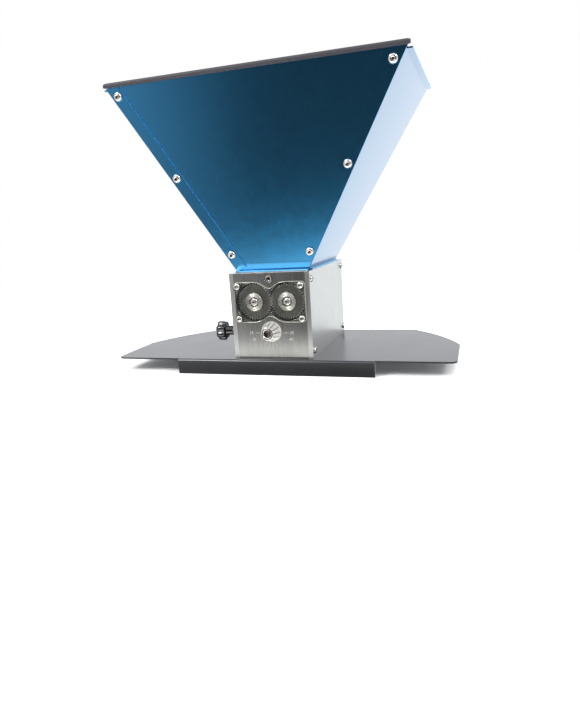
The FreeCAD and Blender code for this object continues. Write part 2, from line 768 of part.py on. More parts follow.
def make_bearing_ring(name, track, wall):
    """Half-finished bearing ring about Y at the origin: track is its raceway side, wall the other."""
    body = new_body(name)
    sketch = new_sketch(body, f"{name}_profile", "XY_Plane")
    half = value("bearing_width / 2")
    pitch = value("bearing_pitch_radius")
    groove = value("ball_diameter / 2 + running_gap")
    side = math.copysign(1, track - pitch)
    half_groove = math.sqrt(groove**2 - (track - pitch) ** 2)
    add_path(sketch, (wall, -half), [
        (track, -half),
        (track, -half_groove),
        ((pitch + side * groove, 0), (track, half_groove)),
        (track, half),
        (wall, half),
        (wall, -half),
    ])
    add_revolution(body, sketch)
    return body


def group(label, master, placements):
    """Copies of one master piece, kept together as separate solids of a node."""
    solids = []
    for placement in placements:
        solid = master.Shape.copy()
        solid.Placement = placement.multiply(solid.Placement)
        solids.append(solid)
    item = doc.addObject("Part::Feature", label)
    item.Shape = Part.makeCompound(solids)
    item.Placement = FreeCAD.Placement()
    return keep(item, label)


def at(x, y, z, rotation=None):
    return FreeCAD.Placement(V(value(x), value(y), value(z)), rotation or FreeCAD.Rotation())


def make_bearings():
    outer = make_bearing_ring("outer_ring", 10.2, value("bearing_diameter / 2"))
    inner = make_bearing_ring("inner_ring", 7.8, value("journal_diameter / 2 + fit_gap / 2"))
    ball = doc.addObject("Part::Sphere", "bearing_ball")
    bind(ball, Radius="ball_diameter / 2")
    doc.recompute()
    middles = [f"{end} * ({THROAT_END} + bearing_width / 2)" for end in (-1, 1)]
    pitch = value("bearing_pitch_radius")
    balls = 11
    for shaft, x in (("drive", DRIVE_X), ("idler", IDLER_X)):
        seats = [at(x, y, "axis_height") for y in middles]
        group(f"{shaft}_bearing_outer_rings", outer, seats)
        group(f"{shaft}_bearing_inner_rings", inner, seats)
        places = []
        for seat in seats:
            for number in range(balls):
                angle = 2 * math.pi * number / balls
                spot = V(pitch * math.cos(angle), 0, pitch * math.sin(angle))
                places.append(FreeCAD.Placement(seat.Base + spot, FreeCAD.Rotation()))
        group(f"{shaft}_bearing_balls", ball, places)


# ---------------------------------------------------------------- gap adjuster

def make_carrier(label, back):
    """Sliding plate that holds one idler bearing, with a slot round an eccentric disc."""
    body = new_body(label, y=back)
    outline = new_sketch(body, f"{label}_outline", "XZ_Plane")
    left = f"({IDLER_X} - carrier_half_width)"
    right = f"({IDLER_X} + carrier_half_width)"
    add_polygon(outline, [
        (left, CARRIER_FLOOR),
        ("-carrier_arm", CARRIER_FLOOR),
        ("-carrier_arm", "carrier_foot"),
        ("carrier_arm", "carrier_foot"),
        ("carrier_arm", CARRIER_SHOULDER),
        (right, CARRIER_SHOULDER),
        (right, CARRIER_CEILING),
        (left, CARRIER_CEILING),
    ])
    add_pad(body, outline, "carrier_thickness")
    seat = new_sketch(body, f"{label}_seat", "XZ_Plane", "carrier_thickness")
    add_circle(seat, IDLER_X, "axis_height", "bearing_diameter / 2 + fit_gap")
    add_pocket(body, seat, "carrier_thickness")
    slot = new_sketch(body, f"{label}_slot", "XZ_Plane", "carrier_thickness")
    half = "(cam_diameter / 2 + cam_side_gap)"
    add_rectangle(
        slot,
        (f"-{half}", half),
        (f"dial_height - {SLOT_HALF_HEIGHT}", f"dial_height + {SLOT_HALF_HEIGHT}"),
    )
    add_pocket(body, slot, "carrier_thickness")
    return keep(body, label)


def make_adjuster():
    front = f"{FRONT_FACE} - knob_clearance - knob_length + 4"
    rear = f"{SEAT_END} + 2.5"
    shaft = turned("adjuster_shaft", "0", "dial_height", [
        ("0", front),
        ("adjuster_diameter / 2", front),
        ("adjuster_diameter / 2", rear),
        ("0", rear),
    ])
    keep(shaft, "adjuster_shaft")
    discs = []
    for name, end in (("front", -1), ("rear", 1)):
        middle = f"{end} * ({THROAT_END} + bearing_width / 2)"
        start = f"{middle} - carrier_thickness / 2"
        disc = rod(f"{name}_disc", "cam_diameter / 2", "carrier_thickness",
                   ("0", start, "dial_height - cam_offset"), Y_AXIS)
        bore = rod(f"{name}_disc_bore", "adjuster_diameter / 2 + fit_gap", "carrier_thickness + 2",
                   ("0", f"{start} - 1", "dial_height"), Y_AXIS)
        discs.append(cut(f"{name}_cam", disc, bore))
    pair = doc.addObject("Part::Compound", "gap_cams")
    pair.Links = discs
    return keep(pair, "gap_cams")


def make_dial_knob():
    back = f"{FRONT_FACE} - knob_clearance"
    front = f"{back} - knob_length"
    bore = "adjuster_diameter / 2 + fit_gap"
    body = turned("knob_turning", "0", "dial_height", [
        (bore, back),
        ("knob_diameter / 2", back),
        ("knob_diameter / 2", f"{back} - 1"),
        ("knob_front_diameter / 2 + 0.3", f"{front} + 0.6"),
        ("knob_front_diameter / 2 - 0.3", front),
        ("0", front),
        ("0", f"{front} + 3.8"),
        (bore, f"{front} + 3.8"),
    ])
    pointer = box(
        "pointer_groove",
        ("-0.5", "0.5"),
        (f"{front} - 1", f"{back} + 1"),
        ("dial_height - knob_diameter", "dial_height - knob_front_diameter / 2 - 0.9"),
    )
    grub_hole = rod("grub_hole", "1.52", "knob_diameter", ("0", f"{back} - 4", "dial_height"))
    keep(cut("dial_knob", body, fused("knob_cuts", [pointer, grub_hole])), "dial_knob")
    grub = rod("grub", "1.5", "5.5", ("0", f"{back} - 4", "dial_height + adjuster_diameter / 2"))
    return keep(grub, "dial_set_screw")


def make_lock_screw():
    plate = "(-body_width / 2)"
    head_end = f"({plate} - star_stand_off - star_hub_length - star_length)"
    thread_end = f"({head_end} + 6)"
    screw = rod("lock_screw", "lock_diameter / 2", f"{LOCK_TIP} - {thread_end}",
                (thread_end, LOCK_Y, "dial_height"), X_AXIS)
    keep(screw, "lock_screw")

    body = new_body("star_knob", x=head_end, y=LOCK_Y, z="dial_height")
    head = new_sketch(body, "star_head", "YZ_Plane")
    add_circle(head, "0", "0", "star_diameter / 2")
    add_pad(body, head, "star_length")
    scallop = new_sketch(body, "star_scallop", "YZ_Plane", "star_length")
    add_circle(scallop, "star_diameter / 2 + 1.1", "0", "3")
    one_scallop = add_pocket(body, scallop, "star_length")
    ring_of("star_scallops", "7", one_scallop, body, "X_Axis")
    hub = new_sketch(body, "star_hub", "YZ_Plane", "star_length")
    add_circle(hub, "0", "0", "star_hub_diameter / 2")
    add_pad(body, hub, "star_hub_length")
    bore = new_sketch(body, "star_bore", "YZ_Plane", "star_length + star_hub_length")
    add_circle(bore, "0", "0", "lock_diameter / 2 + fit_gap")
    add_pocket(body, bore, "star_length + star_hub_length - 5.9")
    return keep(body, "star_knob")


# ---------------------------------------------------------------- hopper

def make_screw_hole_tool():
    """Bores for the twelve corner screws and the two clamp screws."""
    holes = []
    for number, (place, inward) in enumerate(corner_screw_places()):
        hole = doc.addObject("Part::Cylinder", f"corner_hole_{number}")
        bind(hole, Radius="large_thread / 2 + 0.1", Height="10")
        turn = FreeCAD.Rotation(Z_AXIS, inward)
        hole.Placement = FreeCAD.Placement(place - 3 * inward, turn)
        holes.append(hole)
    holes.append(rod("clamp_hole", "large_thread / 2 + 0.1", "throat_length + 4",
                     ("0", "-throat_length / 2 - 2", "clamp_height"), Y_AXIS))
    return fused("hopper_holes", holes)


def corner_screw_places():
    """Seat and inward direction of each corner screw: at the front, then turned to the rear."""
    lean = math.atan(value(FRONT_SLOPE))
    inward = V(0, math.cos(lean), math.sin(lean))
    half_turn = FreeCAD.Rotation(Z_AXIS, 180)
    places = []
    for rise in SCREW_HEIGHTS:
        across = value(f"{side_at(rise)} - hopper_screw_inset")
        height = value(f"{BODY_TOP} + {rise}")
        flange = V(-across, -value(f"{front_at(rise)} + hopper_sheet"), height)
        panel = V(across, -value(front_at(rise)), height)
        for seat in (flange, panel):
            places.append((seat, inward))
            places.append((half_turn.multVec(seat), half_turn.multVec(inward)))
    return places


def make_end_panel(label, holes, turn):
    """Front or rear panel: a flat sheet with a resting ledge and a tab into the throat."""
    top = "(hopper_height + panel_rise)"
    sheet_body = leaning_slab(
        f"{label}_sheet",
        (f"{SIDE_SHEET} - {side_at('0')}", side_at("0"), f"-{front_at('0')}", f"hopper_sheet - {front_at('0')}"),
        (f"{SIDE_SHEET} - {side_at(top)}", side_at(top), f"-{front_at(top)}", f"hopper_sheet - {front_at(top)}"),
        ("0", top),
    )
    ledge = box(
        f"{label}_ledge",
        ("-throat_width / 2 + 2", "throat_width / 2"),
        ("-throat_length / 2 - hopper_ledge", "hopper_sheet - throat_length / 2"),
        (BODY_TOP, f"{BODY_TOP} + hopper_sheet"),
    )
    tab = box(
        f"{label}_tab",
        ("-tab_width / 2", "tab_width / 2"),
        ("-throat_length / 2", "hopper_sheet - throat_length / 2"),
        (f"{BODY_TOP} - tab_drop", f"{BODY_TOP} + hopper_sheet"),
    )
    whole = fused(f"{label}_whole", [sheet_body, ledge, tab])
    whole.Placement = FreeCAD.Placement(V(), FreeCAD.Rotation(Z_AXIS, turn))
    return keep(cut(label, whole, holes), label)


def corner_flange(name, near, far):
    """Flange along a corner of the left panel, between two offsets from the front panel's face."""
    slope = value(SIDE_SLOPE)
    rise = f"(hopper_flange * {slope} / (1 + {slope}^2))"

    def level(height):
        side = side_at(height)
        outer, inner = (f"{front_at(height)} + ({offset})" for offset in (far, near))
        return (f"-{side}", f"hopper_flange - {side}", f"-({outer})", f"-({inner})")

    foot = level("0")
    toe = (foot[0], f"{foot[0]} + 0.05", foot[2], foot[3])
    lower = leaning_slab(f"{name}_lower", toe, level(rise), ("0", rise))
    upper = leaning_slab(f"{name}_upper", level(rise), level("hopper_height"), (rise, "hopper_height"))
    return [lower, upper]


def make_side_panel(label, holes, turn):
    """Left panel, or the right one when turned: a sheet with an outer and an inner corner flange."""
    def level(height):
        side = side_at(height)
        depth = front_at(height)
        return (f"-{side}", f"{SIDE_SHEET} - {side}", f"-({depth} + hopper_sheet)", f"{depth} - hopper_sheet")

    main = leaning_slab(f"{label}_sheet", level("0"), level("hopper_height"), ("0", "hopper_height"))
    front = corner_flange(f"{label}_front_flange", "0", "hopper_sheet")
    rear = corner_flange(f"{label}_rear_flange", "-2 * hopper_sheet", "-hopper_sheet")
    for slab in rear:
        mirror_in_depth(slab)
    mouth = side_at("hopper_height")
    lip = box(
        f"{label}_lip",
        (f"-{mouth} - hopper_lip", f"{SIDE_SHEET} - {mouth}"),
        ("-hopper_top_depth / 2 + 3", "hopper_top_depth / 2 - 5"),
        (f"{BODY_TOP} + hopper_height - hopper_sheet", f"{BODY_TOP} + hopper_height"),
    )
    ledge = box(
        f"{label}_ledge",
        ("-throat_width / 2 - hopper_ledge", f"{SIDE_SHEET} - throat_width / 2"),
        ("-throat_length / 2 + 2", "throat_length / 2 - 2"),
        (BODY_TOP, f"{BODY_TOP} + hopper_sheet"),
    )
    whole = fused(f"{label}_whole", [main, *front, *rear, lip, ledge])
    whole.Placement = FreeCAD.Placement(V(), FreeCAD.Rotation(Z_AXIS, turn))
    return keep(cut(label, whole, holes), label)


def mirror_in_depth(slab):
    """Moves a flange slab from the front corner to the rear one."""
    pairs = (("Zmin", "Zmax"), ("Z2min", "Z2max"))
    formulas = dict(slab.ExpressionEngine)
    for low, high in pairs:
        slab.setExpression(low, f"-({formulas[high]})")
        slab.setExpression(high, f"-({formulas[low]})")


def make_trim(label, panel, turn):
    """Rubber channel on the top edge of the front or rear panel."""
    low = "(hopper_height + 0.3)"
    high = f"({low} + trim_height)"
    edge = f"(hopper_top_width / 2 + trim_overhang)"

    def level(height):
        middle = f"(hopper_sheet / 2 - {front_at(height)})"
        return (f"-{edge}", edge, f"{middle} - trim_thickness / 2", f"{middle} + trim_thickness / 2")

    strip = leaning_slab(f"{label}_strip", level(low), level(high), (low, high), turn)
    return keep(cut(label, strip, panel), label)


def make_hopper():
    holes = make_screw_hole_tool()
    for end, turn in (("front", 0), ("rear", 180)):
        panel = make_end_panel(f"hopper_{end}_panel", holes, turn)
        make_trim(f"rim_trim_{end}", panel, turn)
    make_side_panel("hopper_left_panel", holes, 0)
    make_side_panel("hopper_right_panel", holes, 180)


# ---------------------------------------------------------------- fasteners

def make_screw(name, thread, length, head, head_height, socket, dome):
    """Master screw about Z with its seat at z = 0 and its thread below."""
    body = new_body(name)
    sketch = new_sketch(body, f"{name}_profile", "XZ_Plane")
    radius = value(thread) / 2
    wide = value(head) / 2
    tall = value(head_height)
    if dome:
        crown = wide * 0.5
        shoulder = ((wide * 0.86, tall * 0.68), (crown, tall))
    else:
        crown = wide - 0.4
        shoulder = (crown, tall)
    profile = [(radius - 0.3, -length), (radius, 0.3 - length), (radius, 0), (wide, 0)]
    if not dome:
        profile.append((wide, tall - 0.4))
    profile += [shoulder, (0, tall), (0, -length)]
    add_path(sketch, (0, -length), profile)
    add_revolution(body, sketch)
    hexagon = new_sketch(body, f"{name}_socket", "XY_Plane", head_height)
    corner = value(socket) / math.sqrt(3)
    points = [(corner * math.cos(math.radians(60 * turn)), corner * math.sin(math.radians(60 * turn)))
              for turn in range(7)]
    add_path(hexagon, points[0], points[1:])
    add_pocket(body, hexagon, f"{head_height} * 0.6")
    return body


def make_sunk_screw():
    """Master countersunk screw about Z, flush at z = 0, with its thread above."""
    body = new_body("sunk_screw")
    sketch = new_sketch(body, "sunk_screw_profile", "XZ_Plane")
    add_polygon(sketch, [
        ("0", "0"),
        ("sunk_head / 2", "0"),
        ("large_thread / 2", "plate_thickness"),
        ("large_thread / 2", "14"),
        ("0", "14"),
    ])
    add_revolution(body, sketch)
    return body


def make_nut():
    """Master nut about Z that starts at z = 0."""
    body = new_body("nut")
    sketch = new_sketch(body, "nut_outline", "XY_Plane")
    corner = value("nut_width") / math.sqrt(3)
    points = [(corner * math.cos(math.radians(60 * turn)), corner * math.sin(math.radians(60 * turn)))
              for turn in range(7)]
    add_path(sketch, points[0], points[1:])
    add_circle(sketch, "0", "0", "large_thread / 2 + fit_gap")
    add_pad(body, sketch, "nut_thickness")
    return body


def facing(direction):
    """Turns a master's +Z, which leaves its head, to a direction."""
    return FreeCAD.Rotation(Z_AXIS, direction)


def make_fasteners():
    small = ("small_thread", "small_head", "small_head_height", "2.5")
    large = ("large_thread", "large_head", "large_head_height", "3")
    side_screw = make_screw("side_screw", small[0], 12, *small[1:], dome=True)
    cover_screw = make_screw("cover_screw", small[0], 10, *small[1:], dome=True)
    corner_screw = make_screw("corner_screw", large[0], 9, *large[1:], dome=True)
    gear_screw = make_screw("gear_screw", large[0], 12, *large[1:], dome=True)
    clamp_screw = make_screw("clamp_screw", "large_thread", 17.5, "cap_head", "cap_head_height", "4", dome=False)
    sunk_screw = make_sunk_screw()
    nut = make_nut()
    doc.recompute()

    group("side_plate_screws", side_screw, [
        at(f"{side} * body_width / 2", y, z, facing(V(side, 0, 0)))
        for side in (-1, 1) for y, z in side_screw_places()
    ])
    group("gear_cover_screws", cover_screw, [
        at(x, f"{FRONT_FACE} - cover_thickness", z, facing(V(0, -1, 0)))
        for x, z in cover_screw_places()
    ])
    for shaft, x in (("drive", DRIVE_X), ("idler", IDLER_X)):
        group(f"{shaft}_gear_screw", gear_screw, [
            at(x, f"{GEAR_FRONT} - washer_thickness", "axis_height", facing(V(0, -1, 0)))
        ])
    corners = corner_screw_places()
    group("hopper_screws", corner_screw, [
        FreeCAD.Placement(place, facing(-1 * inward)) for place, inward in corners
    ])
    # Two sheets lie under each head.
    group("hopper_nuts", nut, [
        FreeCAD.Placement(place + inward * nut_depth(), facing(inward)) for place, inward in corners
    ])
    ends = ((-1, V(0, -1, 0)), (1, V(0, 1, 0)))
    group("hopper_clamp_screws", clamp_screw, [
        at("0", f"{end} * (body_depth / 2 - counterbore_depth)", "clamp_height", facing(out))
        for end, out in ends
    ])
    group("hopper_clamp_nuts", nut, [
        at("0", f"{end} * (throat_length / 2 - hopper_sheet)", "clamp_height", facing(-1 * out))
        for end, out in ends
    ])
    group("base_screws", sunk_screw, [
        at(f"{x} * base_screw_x", f"{y} * base_screw_y", "flap_drop") for x in (-1, 1) for y in (-1, 1)
    ])


def nut_depth():
    """Both sheets under a corner screw head, measured square to them."""
    return value(f"2 * hopper_sheet / sqrt(1 + {FRONT_SLOPE}^2)")


# ---------------------------------------------------------------- the mill

make_base_plate()
make_side_plate("side_plate_left", "-body_width / 2")
make_side_plate("side_plate_right", "body_width / 2 - side_thickness")
make_front_block()
make_rear_block()
make_gear_cover()
make_shafts()
make_roller("drive_roller", DRIVE_X)
make_roller("idler_roller", IDLER_X)
make_gear("drive_gear", DRIVE_X, 0)
make_gear("idler_gear", IDLER_X, 180 / value("gear_teeth"))
make_hub_washer("drive_gear_washer", DRIVE_X)
make_hub_washer("idler_gear_washer", IDLER_X)
make_bearings()
make_carrier("bearing_carrier_front", f"-{THROAT_END} - (bearing_width - carrier_thickness) / 2")
make_carrier("bearing_carrier_rear", f"{SEAT_END} - (bearing_width - carrier_thickness) / 2")
make_adjuster()
make_dial_knob()
make_lock_screw()
make_hopper()
make_fasteners()
doc.recompute()

for item in doc.Objects:
    if "Invalid" in item.State or "Error" in item.State:
        raise RuntimeError(f"{item.Name} failed: {item.State}")

os.makedirs("parts", exist_ok=True)
for node in nodes:
    if node.Shape.isNull() or not node.Shape.isValid():
        raise RuntimeError(f"{node.Label} has no valid shape")
    node.Shape.exportStep(f"parts/{node.Label}.step")
    extent = node.Shape.BoundBox
    print(f"{node.Label}: {len(node.Shape.Solids)} solids, {node.Shape.Volume:.0f} mm3, "
          f"x {extent.XMin:.1f} {extent.XMax:.1f} y {extent.YMin:.1f} {extent.YMax:.1f} "
          f"z {extent.ZMin:.1f} {extent.ZMax:.1f}")
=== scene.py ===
"""Looks of a two-roller grain mill: blue anodised hopper, brushed aluminium body, black plate."""

import json
import math

import bmesh
import bpy
from mathutils import Matrix, Vector, noise


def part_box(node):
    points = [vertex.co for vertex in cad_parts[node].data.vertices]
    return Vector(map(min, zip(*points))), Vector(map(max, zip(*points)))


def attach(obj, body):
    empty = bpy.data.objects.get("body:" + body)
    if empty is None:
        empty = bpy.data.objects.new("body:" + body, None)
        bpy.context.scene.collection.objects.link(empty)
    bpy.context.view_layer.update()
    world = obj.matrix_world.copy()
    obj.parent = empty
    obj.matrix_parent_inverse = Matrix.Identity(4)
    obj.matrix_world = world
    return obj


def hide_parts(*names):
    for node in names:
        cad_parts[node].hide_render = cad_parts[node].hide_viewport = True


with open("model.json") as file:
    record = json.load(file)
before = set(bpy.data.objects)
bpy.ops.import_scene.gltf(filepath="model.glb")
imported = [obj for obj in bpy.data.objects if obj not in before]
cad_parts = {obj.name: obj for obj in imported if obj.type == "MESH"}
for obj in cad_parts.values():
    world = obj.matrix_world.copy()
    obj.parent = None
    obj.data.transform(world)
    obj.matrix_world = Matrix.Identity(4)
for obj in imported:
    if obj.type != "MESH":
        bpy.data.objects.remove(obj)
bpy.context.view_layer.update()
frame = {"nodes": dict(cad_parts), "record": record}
SCENE = bpy.context.scene
MM = 0.001
TURN = 2 * math.pi
BODY_OF = {
    node: body
    for body, members in frame["record"]["behaviour"]["bodies"].items()
    for node in members
}


# ---------------------------------------------------------------- small tools

def linear(hex_colour):
    """An sRGB hex colour as linear RGBA."""
    channels = [int(hex_colour[i:i + 2], 16) / 255 for i in (1, 3, 5)]
    bent = [c / 12.92 if c <= 0.04045 else ((c + 0.055) / 1.055) ** 2.4 for c in channels]
    return (*bent, 1.0)


def add(tree, kind, inputs=None, **settings):
    """A new node of a tree, with its settings, and its inputs set or linked."""
    node = tree.nodes.new(kind)
    for name, value in settings.items():
        setattr(node, name, value)
    for key, value in (inputs or {}).items():
        if isinstance(value, bpy.types.NodeSocket):
            tree.links.new(value, node.inputs[key])
        else:
            node.inputs[key].default_value = value
    return node


def scaled(*sizes):
    """Pattern repeats per metre along X, Y and Z, from sizes in millimetres."""
    return tuple(1 / (size * MM) for size in sizes)


def centre_of(node):
    low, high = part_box(node)
    return (low + high) / 2


def linked(name, data):
    """A new object with this data, in the scene."""
    made = bpy.data.objects.new(name, data)
    SCENE.collection.objects.link(made)
    return made


def baked(host):
    """An object's mesh with its modifiers applied; the object goes."""
    graph = bpy.context.evaluated_depsgraph_get()
    mesh = bpy.data.meshes.new_from_object(host.evaluated_get(graph), depsgraph=graph)
    bpy.data.objects.remove(host)
    return mesh


# ------------------------------------------------------------------ materials

def material_named(name):
    material = bpy.data.materials.new(name)
    material.use_nodes = True
    material.node_tree.nodes.clear()
    return material, material.node_tree


def grain(tree, size, detail=2.0, roughness=0.5):
    """Noise from 0 to 1 on Object coordinates, its features size mm apart, or so on each axis."""
    place = add(tree, "ShaderNodeTexCoord").outputs["Object"]
    sizes = size if isinstance(size, tuple) else (size,) * 3
    stretch = add(tree, "ShaderNodeMapping", {"Vector": place, "Scale": scaled(*sizes)})
    return add(tree, "ShaderNodeTexNoise", {"Vector": stretch.outputs[0], "Scale": 1.0,
                                            "Detail": detail, "Roughness": roughness}).outputs[0]


def spread(tree, value, low, high):
    """A 0 to 1 pattern value spread over another range."""
    return add(tree, "ShaderNodeMapRange", {"Value": value, "To Min": low, "To Max": high}).outputs[0]


def blended(tree, factor, first, second):
    mix = add(tree, "ShaderNodeMix", data_type="RGBA")
    tree.links.new(factor, mix.inputs[0])
    for socket, colour in ((mix.inputs[6], first), (mix.inputs[7], second)):
        if isinstance(colour, str):
            socket.default_value = linear(colour)
        else:
            tree.links.new(colour, socket)
    return mix.outputs[2]


def bumped(tree, height, depth, below=None):
    """A normal from a height pattern, depth mm deep, over another normal if one is given."""
    inputs = {"Height": height, "Distance": depth * MM, "Strength": 1.0}
    if below is not None:
        inputs["Normal"] = below
    return add(tree, "ShaderNodeBump", inputs).outputs[0]


def shaded(tree, **inputs):
    """The surface shader joined to the output; names are the shader's own, with _ for a space."""
    named = {key.replace("_", " "): value for key, value in inputs.items()}
    shader = add(tree, "ShaderNodeBsdfPrincipled", named)
    add(tree, "ShaderNodeOutputMaterial", {"Surface": shader.outputs[0]})
    return shader


def anodised_sheet():
    """Blue anodised aluminium sheet: a dyed clear oxide over rolled metal. It gives deep blue
    mirror tones that go pale at a glancing angle, with the mill's fine rolling lines in them."""
    material, tree = material_named("blue_anodised_sheet")
    # Rolling lines are about 0.1 mm apart; 1.1 mm is as fine as shows at arm's length.
    lines = grain(tree, (1.1, 1.1, 38), 3)
    # Dye takes up a little unevenly over some 60 mm.
    clouds = grain(tree, 60, 2)
    # Handling dulls the oxide in patches of about 9 mm.
    handling = grain(tree, 9, 4)
    dye = blended(tree, spread(tree, lines, 0.25, 0.75), "#1f749f", "#2b83b4")
    colour = blended(tree, spread(tree, clouds, 0.0, 0.55), dye, "#2478a6")
    worn = add(tree, "ShaderNodeMath", {0: spread(tree, lines, -0.04, 0.04),
                                        1: spread(tree, handling, 0.15, 0.21)}, operation="ADD")
    shaded(tree, Base_Color=colour, Metallic=1.0, Roughness=worn.outputs[0],
           Coat_Weight=0.75, Coat_Roughness=0.15, Coat_IOR=1.5,
           Normal=bumped(tree, lines, 0.012))
    return material


def painted_highlight_edge():
    """Bare edge of the anodised sheet, sheared and then dyed; its pale colour is a painted highlight,
    standing in for the light the edge catches.
    """
    material, tree = material_named("anodised_edge_painted_highlight")
    burr = grain(tree, 1.5, 2)
    shaded(tree, Base_Color=blended(tree, burr, "#5fb0e0", "#84c8ee"), Metallic=0.85,
           Roughness=spread(tree, burr, 0.42, 0.58))
    return material


def brushed_plate(name, dark, bright, size, depth, roughness):
    """Aluminium plate brushed along its longest lines and clear finished: soft streaked mirror."""
    material, tree = material_named(name)
    streak = grain(tree, size, 4, 0.6)
    stain = grain(tree, 26, 3)
    tone = blended(tree, spread(tree, streak, 0.1, 0.9), dark, bright)
    colour = blended(tree, spread(tree, stain, 0.0, 0.3), tone, dark)
    worn = spread(tree, stain, roughness - 0.05, roughness + 0.05)
    glint = spread(tree, streak, -0.04, 0.06)
    rough = add(tree, "ShaderNodeMath", {0: glint, 1: worn}, operation="ADD")
    shaded(tree, Base_Color=colour, Metallic=1.0, Roughness=rough.outputs[0],
           Normal=bumped(tree, streak, depth))
    return material


def powder_coat():
    """Black polyester powder coat on steel: satin, with the faint pebble of melted powder."""
    material, tree = material_named("black_powder_coat")
    # Orange peel is about 1.6 mm across.
    peel = grain(tree, 1.6, 2)
    haze = grain(tree, 45, 3)
    shaded(tree, Base_Color=blended(tree, haze, "#0e0f12", "#16171b"), IOR=1.5,
           Roughness=spread(tree, haze, 0.26, 0.34), Coat_Weight=0.4, Coat_Roughness=0.22,
           Normal=bumped(tree, peel, 0.012))
    return material


def turned_metal(name, dark, bright, centre, spacing, groove, roughness, metallic=1.0, across=0.5,
                 lighter_from=None):
    """Metal faced on a lathe: rings about an axis along Y, which fan the light out in wedges."""
    material, tree = material_named(name)
    place = add(tree, "ShaderNodeTexCoord").outputs["Object"]
    offset = add(tree, "ShaderNodeVectorMath", {0: place, 1: tuple(centre)}, operation="SUBTRACT")
    flat = add(tree, "ShaderNodeVectorMath", {0: offset.outputs[0], 1: (1, 0, 1)},
               operation="MULTIPLY").outputs[0]
    radius = add(tree, "ShaderNodeVectorMath", {0: flat}, operation="LENGTH").outputs["Value"]
    turns = add(tree, "ShaderNodeMath", {0: radius, 1: TURN / (spacing * MM)}, operation="MULTIPLY")
    wave = add(tree, "ShaderNodeMath", {0: turns.outputs[0]}, operation="SINE").outputs[0]
    ridge = add(tree, "ShaderNodeMapRange", {"Value": wave, "From Min": -1.0}).outputs[0]
    grime = grain(tree, 4, 4)
    colour = blended(tree, grime, dark, bright)
    if lighter_from is not None:
        # Beyond this radius, in mm, the face is coloured lighter towards the rim.
        worn = add(tree, "ShaderNodeMapRange", {"Value": radius, "From Min": (lighter_from - 0.8) * MM,
                                                "From Max": lighter_from * MM})
        colour = blended(tree, worn.outputs[0], colour, "#a5a196")
    shaded(tree, Base_Color=blended(tree, spread(tree, ridge, 0.0, across), colour, dark),
           Metallic=metallic, Roughness=spread(tree, grime, roughness - 0.05, roughness + 0.07),
           Normal=bumped(tree, ridge, groove))
    return material


def plain_steel(name, dark, bright, roughness, metallic=1.0, size=3.0):
    """Steel as it comes from the grinder or the header: even, with small tonal flecks."""
    material, tree = material_named(name)
    fleck = grain(tree, size, 5)
    shaded(tree, Base_Color=blended(tree, fleck, dark, bright), Metallic=metallic,
           Roughness=spread(tree, fleck, roughness - 0.06, roughness + 0.08),
           Normal=bumped(tree, fleck, 0.01))
    return material


def soft_rubber():
    """Extruded black rubber trim: matt with a dusty bloom and fine die lines along it."""
    material, tree = material_named("extruded_black_rubber")
    lines = grain(tree, (60, 0.8, 0.8), 2)
    dust = grain(tree, 5, 5)
    shaded(tree, Base_Color=blended(tree, dust, "#17151c", "#2a2831"), IOR=1.52,
           Roughness=spread(tree, dust, 0.5, 0.68), Normal=bumped(tree, lines, 0.03))
    return material


def moulded_plastic():
    """Glossy black moulded phenolic: hard sharp lights and faint handling smears."""
    material, tree = material_named("moulded_black_phenolic")
    smear = grain(tree, 3, 4)
    shaded(tree, Base_Color=blended(tree, smear, "#050506", "#0c0c0e"), IOR=1.6,
           Roughness=spread(tree, smear, 0.1, 0.2))
    return material


def clear_acrylic():
    """Cast acrylic sheet: water clear, with the light dust that a window over gears picks up."""
    material, tree = material_named("clear_cast_acrylic")
    dust = grain(tree, 6, 5)
    material.surface_render_method = "BLENDED"
    shaded(tree, Base_Color=blended(tree, dust, "#8c9291", "#b4b8b7"), IOR=1.49,
           Roughness=spread(tree, dust, 0.05, 0.14), Alpha=spread(tree, dust, 0.0, 0.05))
    return material


def painted_glow_acrylic_rim():
    """Milled and flame polished rim of the acrylic, coloured pale: a painted glow standing in for the
    light the edge gathers.
    """
    material, tree = material_named("acrylic_rim_painted_glow")
    ripple = grain(tree, 5, 2)
    shaded(tree, Base_Color=blended(tree, ripple, "#77776f", "#b4b3aa"), IOR=1.49, Metallic=0.35,
           Roughness=spread(tree, ripple, 0.16, 0.3), Normal=bumped(tree, ripple, 0.08))
    return material


def engraved_mark():
    """Laser engraving in the aluminium: a frosted groove, matt against the brushed face."""
    material, tree = material_named("engraved_aluminium")
    frost = grain(tree, 0.6, 2)
    shaded(tree, Base_Color=blended(tree, frost, "#8d8d87", "#acaca5"), Metallic=0.3,
           Roughness=spread(tree, frost, 0.55, 0.7))
    return material


def knurled_steel():
    """Hardened steel rolled with a diamond knurl: bright worn tips over darker flanks."""
    material, tree = material_named("knurled_roller_steel")
    # The knurl itself is in the mesh; this is the wear of single teeth, about 1.6 mm apart.
    wear = grain(tree, 1.6, 3)
    shaded(tree, Base_Color=blended(tree, wear, "#7c7d7e", "#b0b0ae"), Metallic=1.0,
           Roughness=spread(tree, wear, 0.28, 0.46))
    return material


# ------------------------------------------------------------- mesh and pieces

def shade(mesh, angle=32):
    """Smooth shading that breaks at edges sharper than an angle in degrees."""
    for polygon in mesh.polygons:
        polygon.use_smooth = True
    mesh.set_sharp_from_angle(angle=math.radians(angle))


def piece(name, mesh, material, slot, *nodes):
    """A finished piece that stands for CAD nodes and rides with the first one's body."""
    made = linked(name, mesh)
    materials = material if isinstance(material, list) else [material]
    mesh.materials.clear()
    for one in materials:
        mesh.materials.append(one)
    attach(made, BODY_OF[nodes[0]])
    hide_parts(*nodes)
    return made


def refinished(made, index, chosen):
    """The faces for which chosen holds get the piece's material of this index."""
    for polygon in made.data.polygons:
        if chosen(polygon):
            polygon.material_index = index


